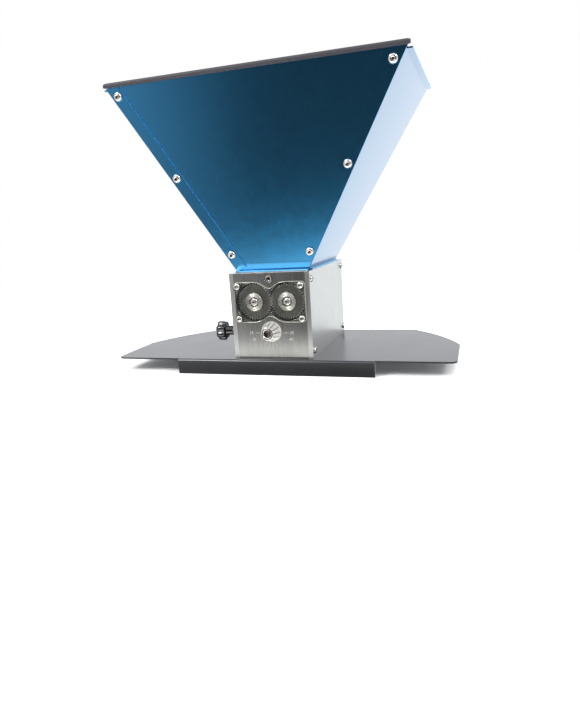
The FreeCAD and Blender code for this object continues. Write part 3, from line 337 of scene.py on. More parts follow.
def merged(node):
    """A CAD node's mesh with its triangles joined up into flat faces."""
    shell = bmesh.new()
    shell.from_mesh(frame["nodes"][node].data)
    bmesh.ops.remove_doubles(shell, verts=shell.verts, dist=0.0005 * MM)
    bmesh.ops.dissolve_limit(shell, angle_limit=math.radians(0.6), verts=shell.verts,
                             edges=shell.edges, delimit={"NORMAL"})
    return shell


def to_mesh(shell, name):
    mesh = bpy.data.meshes.new(name)
    shell.to_mesh(mesh)
    shell.free()
    return mesh


def rounded(node, width, segments=2, angle=28):
    """A merged copy of a CAD node with its corners broken by a width in millimetres."""
    mesh = to_mesh(merged(node), node)
    host = linked(node + "_host", mesh)
    bevel = host.modifiers.new("edge", "BEVEL")
    bevel.width = width * MM
    bevel.segments = segments
    bevel.limit_method = "ANGLE"
    bevel.angle_limit = math.radians(angle)
    bevel.use_clamp_overlap = True
    shade(mesh)
    host.modifiers.new("flat faces", "WEIGHTED_NORMAL").keep_sharp = True
    made = baked(host)
    bpy.data.meshes.remove(mesh)
    return made


def softened(node, width, material, slot, segments=2):
    return piece(node + "_finished", rounded(node, width, segments), material, slot, node)


def dressed(material, *nodes):
    """CAD nodes that keep their own shape and get a real finish."""
    for node in nodes:
        mesh = frame["nodes"][node].data
        mesh.materials.clear()
        mesh.materials.append(material)


def spun(profile, steps, place, radius=lambda angle, index, r: r):
    """A closed shape turned from (radius, height) pairs in mm; place puts it into the frame."""
    shell = bmesh.new()
    rings = []
    for index, (r, height) in enumerate(profile):
        if r == 0:
            rings.append([shell.verts.new((0, 0, height * MM))])
            continue
        ring = []
        for step in range(steps):
            angle = TURN * step / steps
            reach = radius(angle, index, r) * MM
            across, up = reach * math.cos(angle), reach * math.sin(angle)
            ring.append(shell.verts.new((across, up, height * MM)))
        rings.append(ring)
    for lower, upper in zip(rings, rings[1:]):
        for step in range(steps):
            nxt = (step + 1) % steps
            if len(lower) == 1 and len(upper) == 1:
                continue
            if len(lower) == 1:
                shell.faces.new((lower[0], upper[step], upper[nxt]))
            elif len(upper) == 1:
                shell.faces.new((lower[step], upper[0], lower[nxt]))
            else:
                shell.faces.new((lower[step], upper[step], upper[nxt], lower[nxt]))
    if len(rings[0]) > 1 and profile[0] == profile[-1]:
        bmesh.ops.remove_doubles(shell, verts=shell.verts, dist=0.0001 * MM)
    shell.transform(place)
    bmesh.ops.recalc_face_normals(shell, faces=shell.faces)
    return shell


def facing(direction, at):
    """Puts a shape that stands along +Z so that it stands along a direction, from a point."""
    turn = Vector(direction).to_track_quat("Z", "Y").to_matrix().to_4x4()
    return Matrix.Translation(at) @ turn


# ------------------------------------------------------------- geometry trees

def new_tree(name, inputs):
    """A Geometry Nodes tree with named inputs, and its input and output nodes."""
    tree = bpy.data.node_groups.new(name, "GeometryNodeTree")
    tree.interface.new_socket("Geometry", in_out="INPUT", socket_type="NodeSocketGeometry")
    for label, kind in inputs.items():
        tree.interface.new_socket(label, in_out="INPUT", socket_type="NodeSocket" + kind)
    tree.interface.new_socket("Geometry", in_out="OUTPUT", socket_type="NodeSocketGeometry")
    return tree, add(tree, "NodeGroupInput")


def close_tree(tree, source, geometry, recess=False):
    """Ends a tree: instances made real and given the piece's finish, and a recess's if it has one."""
    real = add(tree, "GeometryNodeRealizeInstances", {"Geometry": geometry})
    coated = add(tree, "GeometryNodeSetMaterial", {"Geometry": real.outputs[0],
                                                   "Material": source.outputs["Material"]})
    if recess:
        inside = add(tree, "GeometryNodeInputNamedAttribute", {"Name": "recess"}, data_type="BOOLEAN")
        coated = add(tree, "GeometryNodeSetMaterial", {
            "Geometry": coated.outputs[0], "Selection": inside.outputs[0],
            "Material": source.outputs["Recess"]})
    add(tree, "NodeGroupOutput", {"Geometry": coated.outputs[0]})


def grown(name, tree, values, start=None):
    """The plain mesh that a tree makes from its input values."""
    host = linked(name, start or bpy.data.meshes.new(name))
    modifier = host.modifiers.new(name, "NODES")
    modifier.node_group = tree
    for item in tree.interface.items_tree:
        if item.in_out == "INPUT" and item.name in values:
            modifier[item.identifier] = values[item.name]
    return baked(host)


def tree_maths(tree, operation, *values):
    node = add(tree, "ShaderNodeMath", dict(enumerate(values)), operation=operation)
    return node.outputs[0]


def knurl_tree():
    """A cylinder along Z whose skin is pressed in along two crossing sets of helical grooves."""
    tree, source = new_tree("diamond_knurl", {
        "Radius": "Float", "Length": "Float", "Teeth": "Int", "Depth": "Float", "Detail": "Int",
        "Rows": "Int", "Material": "Material",
    })
    sides = tree_maths(tree, "MULTIPLY", source.outputs["Teeth"], source.outputs["Detail"])
    skin = add(tree, "GeometryNodeMeshCylinder", {
        "Vertices": sides, "Side Segments": source.outputs["Rows"],
        "Radius": source.outputs["Radius"], "Depth": source.outputs["Length"]}, fill_type="NGON")
    spot = add(tree, "GeometryNodeInputPosition").outputs[0]
    parts = add(tree, "ShaderNodeSeparateXYZ", {0: spot})
    angle = tree_maths(tree, "ARCTAN2", parts.outputs[1], parts.outputs[0])
    round_count = tree_maths(tree, "MULTIPLY", tree_maths(tree, "DIVIDE", angle, TURN),
                             source.outputs["Teeth"])
    pitch = tree_maths(tree, "DIVIDE", tree_maths(tree, "MULTIPLY", source.outputs["Radius"], TURN),
                       source.outputs["Teeth"])
    along = tree_maths(tree, "DIVIDE", parts.outputs[2], pitch)
    dips = []
    for operation in ("ADD", "SUBTRACT"):
        phase = tree_maths(tree, "FRACT", tree_maths(tree, operation, round_count, along))
        dips.append(tree_maths(tree, "ABSOLUTE", tree_maths(tree, "SUBTRACT", phase, 0.5)))
    groove = tree_maths(tree, "MULTIPLY", tree_maths(tree, "MAXIMUM", *dips), 2.0)
    sharp = tree_maths(tree, "POWER", groove, 1.6)
    deep = tree_maths(tree, "MULTIPLY", sharp, source.outputs["Depth"])
    inward = tree_maths(tree, "MULTIPLY", deep, -1.0)
    flat = add(tree, "ShaderNodeCombineXYZ", {0: parts.outputs[0], 1: parts.outputs[1]})
    out = add(tree, "ShaderNodeVectorMath", {0: flat.outputs[0]}, operation="NORMALIZE")
    press = add(tree, "ShaderNodeVectorMath", {0: out.outputs[0], "Scale": inward}, operation="SCALE")
    pressed = add(tree, "GeometryNodeSetPosition", {"Geometry": skin.outputs[0],
                                                    "Offset": press.outputs[0]})
    close_tree(tree, source, pressed.outputs[0])
    return tree


def screw_tree():
    """One screw head, put at every point and turned as the point's own turn says."""
    tree, source = new_tree("screws_in_place", {"Screw": "Object", "Material": "Material",
                                                "Recess": "Material"})
    head = add(tree, "GeometryNodeObjectInfo", {"Object": source.outputs["Screw"]})
    turn = add(tree, "GeometryNodeInputNamedAttribute", {"Name": "turn"}, data_type="FLOAT_VECTOR")
    euler = add(tree, "FunctionNodeEulerToRotation", {0: turn.outputs[0]})
    placed = add(tree, "GeometryNodeInstanceOnPoints", {
        "Points": source.outputs["Geometry"], "Instance": head.outputs["Geometry"],
        "Rotation": euler.outputs[0]})
    close_tree(tree, source, placed.outputs[0], recess=True)
    return tree


def tick_tree():
    """Marks laid along rays from a centre: Count of them from First, Step apart, in radians."""
    tree, source = new_tree("dial_ticks", {
        "Count": "Int", "First": "Float", "Step": "Float", "Inner": "Float", "Length": "Float",
        "Width": "Float", "Proud": "Float", "Material": "Material"})
    row = add(tree, "GeometryNodeMeshLine", {"Count": source.outputs["Count"], "Offset": (0, 0, 0)})
    index = add(tree, "GeometryNodeInputIndex").outputs[0]
    angle = tree_maths(tree, "ADD", tree_maths(tree, "MULTIPLY", index, source.outputs["Step"]),
                       source.outputs["First"])
    reach = tree_maths(tree, "ADD", source.outputs["Inner"],
                       tree_maths(tree, "DIVIDE", source.outputs["Length"], 2.0))
    spot = add(tree, "ShaderNodeCombineXYZ", {
        0: tree_maths(tree, "MULTIPLY", reach, tree_maths(tree, "COSINE", angle)),
        1: tree_maths(tree, "MULTIPLY", reach, tree_maths(tree, "SINE", angle))})
    fan = add(tree, "GeometryNodeSetPosition", {"Geometry": row.outputs[0],
                                                "Position": spot.outputs[0]})
    size = add(tree, "ShaderNodeCombineXYZ", {0: source.outputs["Length"], 1: source.outputs["Width"],
                                              2: source.outputs["Proud"]})
    mark = add(tree, "GeometryNodeMeshCube", {"Size": size.outputs[0]})
    turn = add(tree, "ShaderNodeCombineXYZ", {2: angle})
    euler = add(tree, "FunctionNodeEulerToRotation", {0: turn.outputs[0]})
    placed = add(tree, "GeometryNodeInstanceOnPoints", {
        "Points": fan.outputs[0], "Instance": mark.outputs[0], "Rotation": euler.outputs[0]})
    close_tree(tree, source, placed.outputs[0])
    return tree


# ------------------------------------------------------------------- finishes

BLUE_SHEET = anodised_sheet()
# The sheet's sheared edges are coloured pale: a painted highlight.
EDGE_PAINTED_HIGHLIGHT = painted_highlight_edge()
# Brushing lines run down the blocks and plates, some 0.9 mm apart where they catch the light.
BLOCK_FACE = brushed_plate("brushed_aluminium_block", "#969693", "#c6c6c2", (0.9, 0.9, 24), 0.014,
                           0.24)
SIDE_FACE = brushed_plate("brushed_aluminium_side", "#b7b7b4", "#dadad6", (1.4, 30, 0.8), 0.010, 0.31)
MILLED = brushed_plate("milled_aluminium", "#a9aaa9", "#cfcfcc", (2.2, 0.7, 2.2), 0.02, 0.33)
# The milled pocket the gears run in, and the gears' faces between their teeth, are painted near
# black: painted shade.
POCKET_PAINTED_SHADE = brushed_plate("milled_pocket_painted_shade", "#100e0b", "#2b2924", (2.5, 2.5, 2.5), 0.03, 0.4)
POWDER = powder_coat()
RUBBER = soft_rubber()
PHENOLIC = moulded_plastic()
ACRYLIC = clear_acrylic()
# The acrylic's rim is coloured pale: a painted glow.
ACRYLIC_RIM_PAINTED_GLOW = painted_glow_acrylic_rim()
ENGRAVED = engraved_mark()
KNURLED = knurled_steel()
# Stainless screw heads are cold formed and tumbled: bright and soft, nothing sharp on them.
STAINLESS = plain_steel("tumbled_stainless", "#a8a49f", "#dad6d0", 0.2)
# The hex sockets are painted dark brown: painted shade in the recess.
SOCKET_PAINTED_SHADE = plain_steel("socket_painted_shade", "#1c1712", "#4a4038", 0.5, metallic=0.5, size=1.2)
# Black oxide is a thin dark iron oxide held in oil.
BLACK_OXIDE = plain_steel("black_oxide_steel", "#141416", "#26262a", 0.34, metallic=0.7)
GROUND_STEEL = plain_steel("ground_shaft_steel", "#9c9d9f", "#c2c2c2", 0.2)
BEARING_STEEL = plain_steel("lapped_bearing_steel", "#adaeb0", "#d2d2d2", 0.12)


# ------------------------------------------------------------------- sheet metal

def hopper_panels():
    """Four folded sheets; faces as narrow as the sheet is thick are its sheared edges, coloured pale
    as a painted highlight.
    """
    for side in ("front", "rear", "left", "right"):
        node = f"hopper_{side}_panel"
        mesh = rounded(node, 0.3)
        corners = mesh.vertices
        made = piece(node + "_sheet", mesh, [BLUE_SHEET, EDGE_PAINTED_HIGHLIGHT], "blue_anodised", node)

        def narrow(polygon):
            # The sheet is 1.5 mm thick, less its rounding; only its long edges are looked for.
            longest = max((corners[a].co - corners[b].co).length for a, b in polygon.edge_keys)
            return longest > 30 * MM and 0.7 * MM < polygon.area / longest < 1.7 * MM

        # The narrow edge faces get the pale painted highlight.
        refinished(made, 1, narrow)


def trim_section(wide, tall, wall):
    """Half round top and two legs of a U section, from its outer right corner, in metres."""
    half, foot, inside = wide / 2, -tall / 2, tall / 2 - wall
    crown = tall / 2 - half
    section = []
    for turn in range(9):
        angle = math.pi * turn / 8
        section.append((half * math.cos(angle), crown + half * math.sin(angle)))
    return section + [(-half, foot), (-half + wall, foot), (-half + wall, inside),
                      (half - wall, inside), (half - wall, foot), (half, foot)]


def rubber_trim(side):
    """A U of rubber pushed over a panel's rim: pressed in a little unevenly, its ends cut round."""
    node = f"rim_trim_{side}"
    low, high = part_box(node)
    middle = centre_of(node)
    sign = -1 if side == "front" else 1
    # The panels lean out by 44 mm over their height of 203 mm.
    lean = math.atan2(44, 203)
    section = trim_section(4.5 * MM, 5.0 * MM, 1.3 * MM)
    stations, end_taper, waver = 110, 2 * MM, 0.28 * MM
    shell = bmesh.new()
    rings = []
    for station in range(stations + 1):
        share = station / stations
        x = low.x + (high.x - low.x) * share
        from_end = min(share, 1 - share) * (high.x - low.x)
        close = min(1.0, 0.72 + 0.28 * math.sqrt(min(1.0, from_end / end_taper)))
        sway = noise.noise(Vector((x * 18, 3 * sign, 0))) * waver
        ring = []
        for across, up in section:
            outward = (math.cos(lean) * across + math.sin(lean) * up * close) * close
            upward = up * close * math.cos(lean) - math.sin(lean) * across
            ring.append(shell.verts.new((x, middle.y + sign * outward + sway,
                                         middle.z + upward + sway * 0.4)))
        rings.append(ring)
    count = len(section)
    for first, second in zip(rings, rings[1:]):
        for k in range(count):
            after = (k + 1) % count
            shell.faces.new((first[k], first[after], second[after], second[k]))
    for ring in (rings[0], rings[-1]):
        shell.faces.new(ring)
    bmesh.ops.triangulate(shell, faces=[f for f in shell.faces if len(f.verts) > 4])
    bmesh.ops.recalc_face_normals(shell, faces=shell.faces)
    mesh = to_mesh(shell, node)
    shade(mesh, 40)
    piece(node + "_extrusion", mesh, RUBBER, "black_rubber", node)


# ------------------------------------------------------------------- the body

def body_shells():
    """The plates and blocks with their edges broken; the front block's gear pocket is painted near
    black as painted shade.
    """
    softened("base_plate", 0.5, POWDER, "black_powder_coat", 3)
    block = softened("front_block", 0.3, BLOCK_FACE, "machined_aluminium")
    block.data.materials.append(POCKET_PAINTED_SHADE)
    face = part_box("front_block")[0].y
    pocket_depth, pocket_half_width, pocket_foot = 12 * MM, 42 * MM, 60 * MM

    def in_pocket(polygon):
        x, y, z = polygon.center
        deep = 0.6 * MM < y - face < pocket_depth
        return deep and abs(x) < pocket_half_width and z > pocket_foot

    # The pocket's faces get the near black painted shade.
    refinished(block, 1, in_pocket)
    softened("rear_block", 0.3, MILLED, "machined_aluminium")
    for side in ("left", "right"):
        softened(f"side_plate_{side}", 0.45, SIDE_FACE, "brushed_aluminium", 3)


def gear_window():
    """The clear cover: a chamfer and a milled rim all round, polished, on a water clear sheet; the
    rim is coloured pale as a painted glow.
    """
    mesh = rounded("gear_cover", 1.1, 3)
    made = piece("gear_cover_window", mesh, [ACRYLIC, ACRYLIC_RIM_PAINTED_GLOW], "clear_acrylic", "gear_cover")
    # The rim and chamfer faces get the pale painted glow.
    refinished(made, 1, lambda polygon: abs(polygon.normal.y) <= 0.99)


def gears_and_hubs():
    """Gears with painted shade on their tooth flanks, and turned hubs with a recess for the centre
    screw.
    """
    bore, recess, recess_floor = 2.6, 5.5, 1.3
    for side in ("drive", "idler"):
        centre = centre_of(f"{side}_shaft")
        # Facing cuts on a gear blank are about 0.9 mm apart.
        face = turned_metal(f"{side}_oiled_gear_steel", "#3f3e37", "#6c6a60", centre, 0.9, 0.05, 0.36,
                            across=0.35, lighter_from=18.6)
        gear = softened(f"{side}_gear", 0.14, face, "dark_gear_steel")
        gear.data.materials.append(POCKET_PAINTED_SHADE)
        # Faces that don't face along the shaft, the tooth flanks among them, get the painted shade.
        refinished(gear, 1, lambda polygon: abs(polygon.normal.y) < 0.5)
        node = f"{side}_gear_washer"
        low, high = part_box(node)
        hub = (low + high) / 2
        radius, thick = (high.x - low.x) / 2 / MM, (high.y - low.y) / MM
        bright = turned_metal(f"{side}_turned_hub_steel", "#7b7973", "#cbc8c1", centre, 0.8, 0.14,
                              0.22)
        profile = [(bore, 0), (radius - 0.2, 0), (radius, 0.2), (radius, thick - 0.75),
                   (radius - 0.5, thick - 0.42), (8.3, thick - 0.30), (8.1, thick - 0.12),
                   (7.0, thick), (6.2, thick - 0.1), (recess + 0.25, thick - 0.4),
                   (recess + 0.1, recess_floor + 0.2), (recess, recess_floor),
                   (bore, recess_floor), (bore, 0)]
        place = facing((0, -1, 0), (hub.x, high.y, hub.z))
        mesh = to_mesh(spun(profile, 96, place), node)
        shade(mesh, 20)
        piece(node + "_turning", mesh, bright, "turned_steel", node)


def rollers():
    """Knurled rollers: grown along Z with the groove field, then laid along Y."""
    tree = knurl_tree()
    for side, hand in (("drive", 1), ("idler", -1)):
        node = f"{side}_roller"
        low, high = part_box(node)
        # 66 teeth round give a knurl of about 1.8 mm, and 5 by 270 points carry its shape.
        mesh = grown(node, tree, {
            "Radius": (high.x - low.x) / 2, "Length": high.y - low.y, "Teeth": 66,
            "Depth": 0.42 * MM, "Detail": 5, "Rows": 270, "Material": KNURLED})
        mesh.transform(facing((0, -hand, 0), centre_of(node)))
        shade(mesh, 50)
        piece(node + "_knurled", mesh, KNURLED, "roller_steel", node)


# ------------------------------------------------------------------- fasteners

def loose_parts(node):
    """The separate solids of a CAD node, as lists of vertices of one merged mesh."""
    shell = bmesh.new()
    shell.from_mesh(frame["nodes"][node].data)
    bmesh.ops.remove_doubles(shell, verts=shell.verts, dist=0.0005 * MM)
    seen, parts = set(), []
    for start in shell.verts:
        if start in seen:
            continue
        part, queue = [], [start]
        seen.add(start)
        while queue:
            vert = queue.pop()
            part.append(vert)
            for edge in vert.link_edges:
                other = edge.other_vert(vert)
                if other not in seen:
                    seen.add(other)
                    queue.append(other)
        parts.append(part)
    return shell, parts


def screw_axis(part):
    """Where a screw's head ends and which way it faces, from its largest flats."""
    areas = {}
    # A dictionary keeps the faces' order, so that every run adds them up alike.
    for face in dict.fromkeys(face for vert in part for face in vert.link_faces):
        normal = face.normal.copy()
        if max(normal, key=abs) < 0:
            normal.negate()
        key = tuple(round(c, 2) for c in normal)
        areas.setdefault(key, [0, normal])[0] += face.calc_area()
    axis = max(areas.values(), key=lambda entry: entry[0])[1].normalized()
    heights = [vert.co.dot(axis) for vert in part]
    middle = (min(heights) + max(heights)) / 2
    reach = {True: 0.0, False: 0.0}
    centre = sum((vert.co for vert in part), Vector()) / len(part)
    for vert, height in zip(part, heights):
        away = (vert.co - centre) - axis * (vert.co - centre).dot(axis)
        reach[height > middle] = max(reach[height > middle], away.length)
    if reach[False] > reach[True]:
        axis.negate()
    heights = [vert.co.dot(axis) for vert in part]
    crown = [vert.co for vert, height in zip(part, heights) if height > max(heights) - 0.01 * MM]
    return sum(crown, Vector()) / len(crown), axis


def screw_master(name, head, tall, thread, length, socket, dome):
    """A socket screw along Z with its crown at zero: a hexagon recess in a domed or capped head."""
    wide = head / 2
    corner = socket / math.sqrt(3)
    # The socket goes six tenths of the way into the head.
    deep = tall * 0.62
    profile = [(0, -deep - 0.2), (corner * 0.98, -deep), (corner, -0.22), (corner + 0.28, -0.02)]
    if dome:
        # The flat round the socket is about half as wide as the head.
        crown = wide * 0.52
        profile.append((crown, 0))
        for turn in (18, 36, 54, 72, 90):
            angle = math.radians(turn)
            profile.append((crown + (wide - crown) * math.sin(angle),
                            (tall - 0.35) * (math.cos(angle) - 1)))
        profile.append((wide, 0.08 - tall))
    else:
        profile += [(wide - 0.5, 0), (wide - 0.15, -0.12), (wide, -0.45), (wide, 0.1 - tall)]
    profile += [(wide - 0.1, -tall), (thread / 2, -tall), (thread / 2, -tall - length + 0.4),
                (thread / 2 - 0.4, -tall - length), (0, -tall - length)]

    def hexagonal(angle, index, r):
        if index in (1, 2):
            sector = angle % (TURN / 6) - TURN / 12
            return r * math.cos(TURN / 12) / math.cos(sector)
        return r

    shell = spun(profile, 48, Matrix.Identity(4), hexagonal)
    mesh = to_mesh(shell, name)
    recess = mesh.attributes.new("recess", "BOOLEAN", "FACE")
    for polygon in mesh.polygons:
        reach = max(math.hypot(*mesh.vertices[v].co[:2]) for v in polygon.vertices)
        in_socket = reach < (corner + 0.1) * MM and polygon.center.z > (-deep - 0.3) * MM
        recess.data[polygon.index].value = in_socket
    shade(mesh, 35)
    return linked(name, mesh)


def put_screws(tree, master, slot, *nodes):
    """Screws in place of the plain ones of each node."""
    for node in nodes:
        shell, parts = loose_parts(node)
        points = bpy.data.meshes.new(node)
        seats = [screw_axis(part) for part in parts]
        points.from_pydata([seat for seat, axis in seats], [], [])
        turn = points.attributes.new("turn", "FLOAT_VECTOR", "POINT")
        for number, (seat, axis) in enumerate(seats):
            # Each screw stopped at its own turn when it was done up.
            own_turn = Matrix.Rotation(math.radians(23 + 37 * number), 4, "Z")
            turn.data[number].vector = (facing(axis, (0, 0, 0)) @ own_turn).to_euler("XYZ")
        shell.free()
        # The socket recess gets the dark painted shade.
        finishes = {"Material": STAINLESS, "Recess": SOCKET_PAINTED_SHADE}
        mesh = grown(node, tree, {"Screw": master, **finishes}, points)
        shade(mesh, 35)
        made = linked(node + "_formed", mesh)
        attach(made, BODY_OF[node])
        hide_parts(node)


def fasteners():
    """M4 and M5 button heads and M5 cap heads: head across, tall, thread, length, socket, domed."""
    tree = screw_tree()
    small = screw_master("small_button_screw", 7.6, 2.2, 4, 12, 2.5, True)
    large = screw_master("large_button_screw", 9.5, 2.75, 5, 9.4, 3, True)
    cap = screw_master("cap_screw", 8.5, 5, 5, 17.5, 4, False)
    put_screws(tree, small, "stainless", "side_plate_screws", "gear_cover_screws")
    put_screws(tree, large, "stainless", "hopper_screws", "drive_gear_screw", "idler_gear_screw")
    put_screws(tree, cap, "stainless", "hopper_clamp_screws")
    for master in (small, large, cap):
        bpy.data.objects.remove(master)


# ------------------------------------------------------------------- knobs and dial

def star_knob():
    """Lock knob, moulded: lobes round a dished outer face, and a plain hub next to the body."""
    low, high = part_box("star_knob")
    reach = (high.z - low.z) / 2 / MM
    half_lobes = 3.5
    # Radius and height of each ring, and how strongly it is lobed.
    profile = [(0, 1.1), (3.2, 1.1), (4.4, 0.7), (5.6, 0.1), (reach - 4.0, 0), (reach - 2.6, 0.25),
               (reach - 1.6, 1.0), (reach - 1.15, 2.0), (reach - 1.1, 4.8), (reach - 1.1, 8.0),
               (reach - 1.3, 9.2), (reach - 2.2, 10.2), (reach - 4.0, 10.8), (5.8, 11.1),
               (5.5, 11.8), (5.4, 18.3), (5.0, 19.0), (2.6, 19.0), (0, 19.0)]
    lobes = [0, 0, 0, 0.2, 0.7, 1.0, 1.1, 1.1, 1.1, 1.1, 1.1, 0.9, 0.5, 0, 0, 0, 0, 0, 0]

    def lobed(angle, index, r):
        swell = math.sqrt(0.03 + 0.97 * math.cos(half_lobes * angle) ** 2)
        return r + lobes[index] * (2.4 * swell - 1.4)

    centre = centre_of("star_knob")
    axis = facing((1, 0, 0), (low.x, centre.y, centre.z))
    mesh = to_mesh(spun(profile, 140, axis, lobed), "star_knob")
    shade(mesh, 50)
    piece("star_knob_moulding", mesh, PHENOLIC, "black_plastic", "star_knob")


def dial_knob():
    """Polished cone with narrow grooves down it, their bottoms painted dark as shade, a thin rim at
    its foot and a turned end painted dark as a reflection.
    """
    low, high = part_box("dial_knob")
    centre = centre_of("dial_knob")
    back, front, bore = (high.z - low.z) / 2 / MM, 7.4, 4.05
    length = (high.y - low.y) / MM
    foot, foot_height, cone_height = back - 0.25, 1.9, length - 2.5
    flutes, flute_depth, half_flute = 12, 0.55, 0.62
    rows = 12
    profile = [(bore, 0), (back - 0.3, 0), (back, 0.3), (back, 1.6), (foot, foot_height)]
    first = len(profile)
    last = first + rows
    for row in range(rows + 1):
        share = row / rows
        profile.append((foot - (foot - front) * share, foot_height + cone_height * share))
    profile += [(front - 0.25, length - 0.18), (front - 0.6, length), (5.2, length),
                (4.8, length - 0.35), (bore, length - 0.35), (bore, 0)]

    def fluted(angle, index, r):
        if not first < index <= last:
            return r
        flute = TURN / flutes
        off = abs((angle + flute / 2) % flute - flute / 2) * r
        return r - flute_depth * max(0.0, 1 - (off / half_flute) ** 2) * min(1.0, (index - first) / 3)

    place = facing((0, -1, 0), (centre.x, high.y, centre.z))
    mesh = to_mesh(spun(profile, 288, place, fluted), "dial_knob")
    shade(mesh, 25)
    skin = turned_metal("turned_polished_aluminium", "#c4c1bb", "#f0ede8", centre, 0.5, 0.018, 0.2,
                        metallic=0.55, across=0.2)
    # The bottoms of the grooves are painted dark: painted shade.
    groove = plain_steel("groove_painted_shade", "#2d2924", "#5b554e", 0.45, metallic=0.6, size=1.5)
    # The end is faced with a coarser feed, about 0.7 mm a turn; its dark grey is a painted dark
    # reflection.
    end = turned_metal("turned_end_painted_dark_reflection", "#4e4a48", "#8d8984", centre, 0.7, 0.10, 0.24)
    made = piece("dial_knob_turning", mesh, [skin, end, groove], "turned_aluminium", "dial_knob")

    def at_end(polygon):
        return polygon.center.y < low.y + 0.4 * MM and abs(polygon.normal.y) > 0.9

    def in_groove(polygon):
        middle = polygon.center
        share = (high.y - middle.y - foot_height * MM) / (cone_height * MM)
        cone = (foot - (foot - front) * share) * MM
        sunk = cone - math.hypot(middle.x - centre.x, middle.z - centre.z)
        return 0 < share < 1 and sunk > 0.16 * MM and not at_end(polygon)

    # The end face gets the painted dark reflection.
    refinished(made, 1, at_end)
    # Groove bottoms get the dark painted shade.
    refinished(made, 2, in_groove)
    # The adjuster shaft gets the same painted dark colour.
    dressed(end, "adjuster_shaft")


def number_mesh(text, height):
    """Figures as a thin mesh in the XY plane, centred on the origin."""
    curve = bpy.data.curves.new(f"figure_{text}", "FONT")
    curve.body = text
    curve.size = height * MM * 1.4
    curve.align_x = "CENTER"
    curve.align_y = "CENTER"
    curve.extrude = 0.03 * MM
    curve.offset = 0.05 * MM
    return baked(linked(f"figure_{text}", curve))


def dial_marks():
    """Gap scale round the dial: rays on the block's face and generic two figure numbers."""
    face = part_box("front_block")[0].y
    dial = centre_of("dial_knob")
    upright = Matrix.Translation((dial.x, face, dial.z)) @ Matrix.Rotation(math.pi / 2, 4, "X")
    tree = tick_tree()
    fans = [  # count, first angle, step, inner radius, length, width, shift down
        (2, 180, -180, 14.5, 5.6, 0.5, -2.0),
        (5, -119, 14.5, 13.2, 8.4, 0.42, 0.0),
    ]
    marks = bmesh.new()
    for count, first, step, inner, length, width, shift in fans:
        mesh = grown("ticks", tree, {
            "Count": count, "First": math.radians(first), "Step": math.radians(step),
            "Inner": inner * MM, "Length": length * MM, "Width": width * MM, "Proud": 0.08 * MM,
            "Material": ENGRAVED})
        mesh.transform(upright @ Matrix.Translation((0, shift * MM, 0)))
        marks.from_mesh(mesh)
    figures = (("15", -25, -2), ("10", -22.8, -9.6), ("35", 23.6, -2), ("40", 22.4, -9.6))
    for text, across, up in figures:
        mesh = number_mesh(text, 3.4)
        mesh.transform(upright @ Matrix.Translation((across * MM, up * MM, 0)))
        marks.from_mesh(mesh)
    mesh = to_mesh(marks, "dial_marks")
    mesh.materials.clear()
    mesh.materials.append(ENGRAVED)
    made = linked("dial_marks", mesh)
    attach(made, BODY_OF["front_block"])


# ------------------------------------------------------------------- light and camera

def studio_world():
    """A bright sweep behind, right and left; a dim studio over a lit floor in front of the mill."""
    world = bpy.data.worlds.new("studio")
    SCENE.world = world
    world.use_nodes = True
    tree = world.node_tree
    tree.nodes.clear()
    way = add(tree, "ShaderNodeTexCoord").outputs["Generated"]
    parts = add(tree, "ShaderNodeSeparateXYZ", {0: way})
    share = add(tree, "ShaderNodeMapRange", {"Value": parts.outputs[2], "From Min": -1.0})
    ramp = add(tree, "ShaderNodeValToRGB", {0: share.outputs[0]})
    # The front's light from straight down, 0, to straight up, 1.
    stops = [(0.0, 1.3), (0.235, 1.5), (0.257, 1.15), (0.27, 0.1), (0.288, 0.045), (0.3225, 0.04),
             (0.4, 0.044), (0.4565, 0.026), (0.5, 0.024), (0.64, 0.05), (0.7, 0.3), (0.76, 0.65),
             (0.9, 0.65)]
    elements = ramp.color_ramp.elements
    elements.remove(elements[1])
    for place, light in stops:
        element = elements.new(place) if place else elements[0]
        element.color = (light, light, light, 1)
    # The sweep comes in where a direction points back, right or left by more than these shares.
    behind = add(tree, "ShaderNodeMapRange", {"Value": parts.outputs[1], "From Min": -0.35,
                                              "From Max": 0.2}, interpolation_type="SMOOTHSTEP")
    right = add(tree, "ShaderNodeMapRange", {"Value": parts.outputs[0], "From Min": 0.35,
                                             "From Max": 0.85}, interpolation_type="SMOOTHSTEP")
    left = add(tree, "ShaderNodeMapRange", {"Value": parts.outputs[0], "From Min": -0.36,
                                            "From Max": -0.62, "To Max": 0.9})
    bright = add(tree, "ShaderNodeMath", {0: behind.outputs[0], 1: right.outputs[0]},
                 operation="MAXIMUM")
    brighter = add(tree, "ShaderNodeMath", {0: bright.outputs[0], 1: left.outputs[0]},
                   operation="MAXIMUM")
    light = blended(tree, brighter.outputs[0], ramp.outputs[0], "#a9abae")
    lit = add(tree, "ShaderNodeBackground", {"Color": light, "Strength": 3.0})
    seen = add(tree, "ShaderNodeBackground", {"Color": linear("#ffffff"), "Strength": 1.0})
    camera_ray = add(tree, "ShaderNodeLightPath").outputs["Is Camera Ray"]
    both = add(tree, "ShaderNodeMixShader", {0: camera_ray, 1: lit.outputs[0], 2: seen.outputs[0]})
    add(tree, "ShaderNodeOutputWorld", {"Surface": both.outputs[0]})


def softbox(name, direction, distance, size, power, seen_in_metal=True):
    """A square soft light that faces the mill from a direction."""
    lamp = bpy.data.lights.new(name, "AREA")
    lamp.shape = "SQUARE"
    lamp.size = size
    lamp.energy = power
    box = linked(name, lamp)
    aim = Vector((0, 0, 0.1))
    way = Vector(direction).normalized()
    box.matrix_world = facing(way, aim + way * distance)
    box.visible_glossy = seen_in_metal


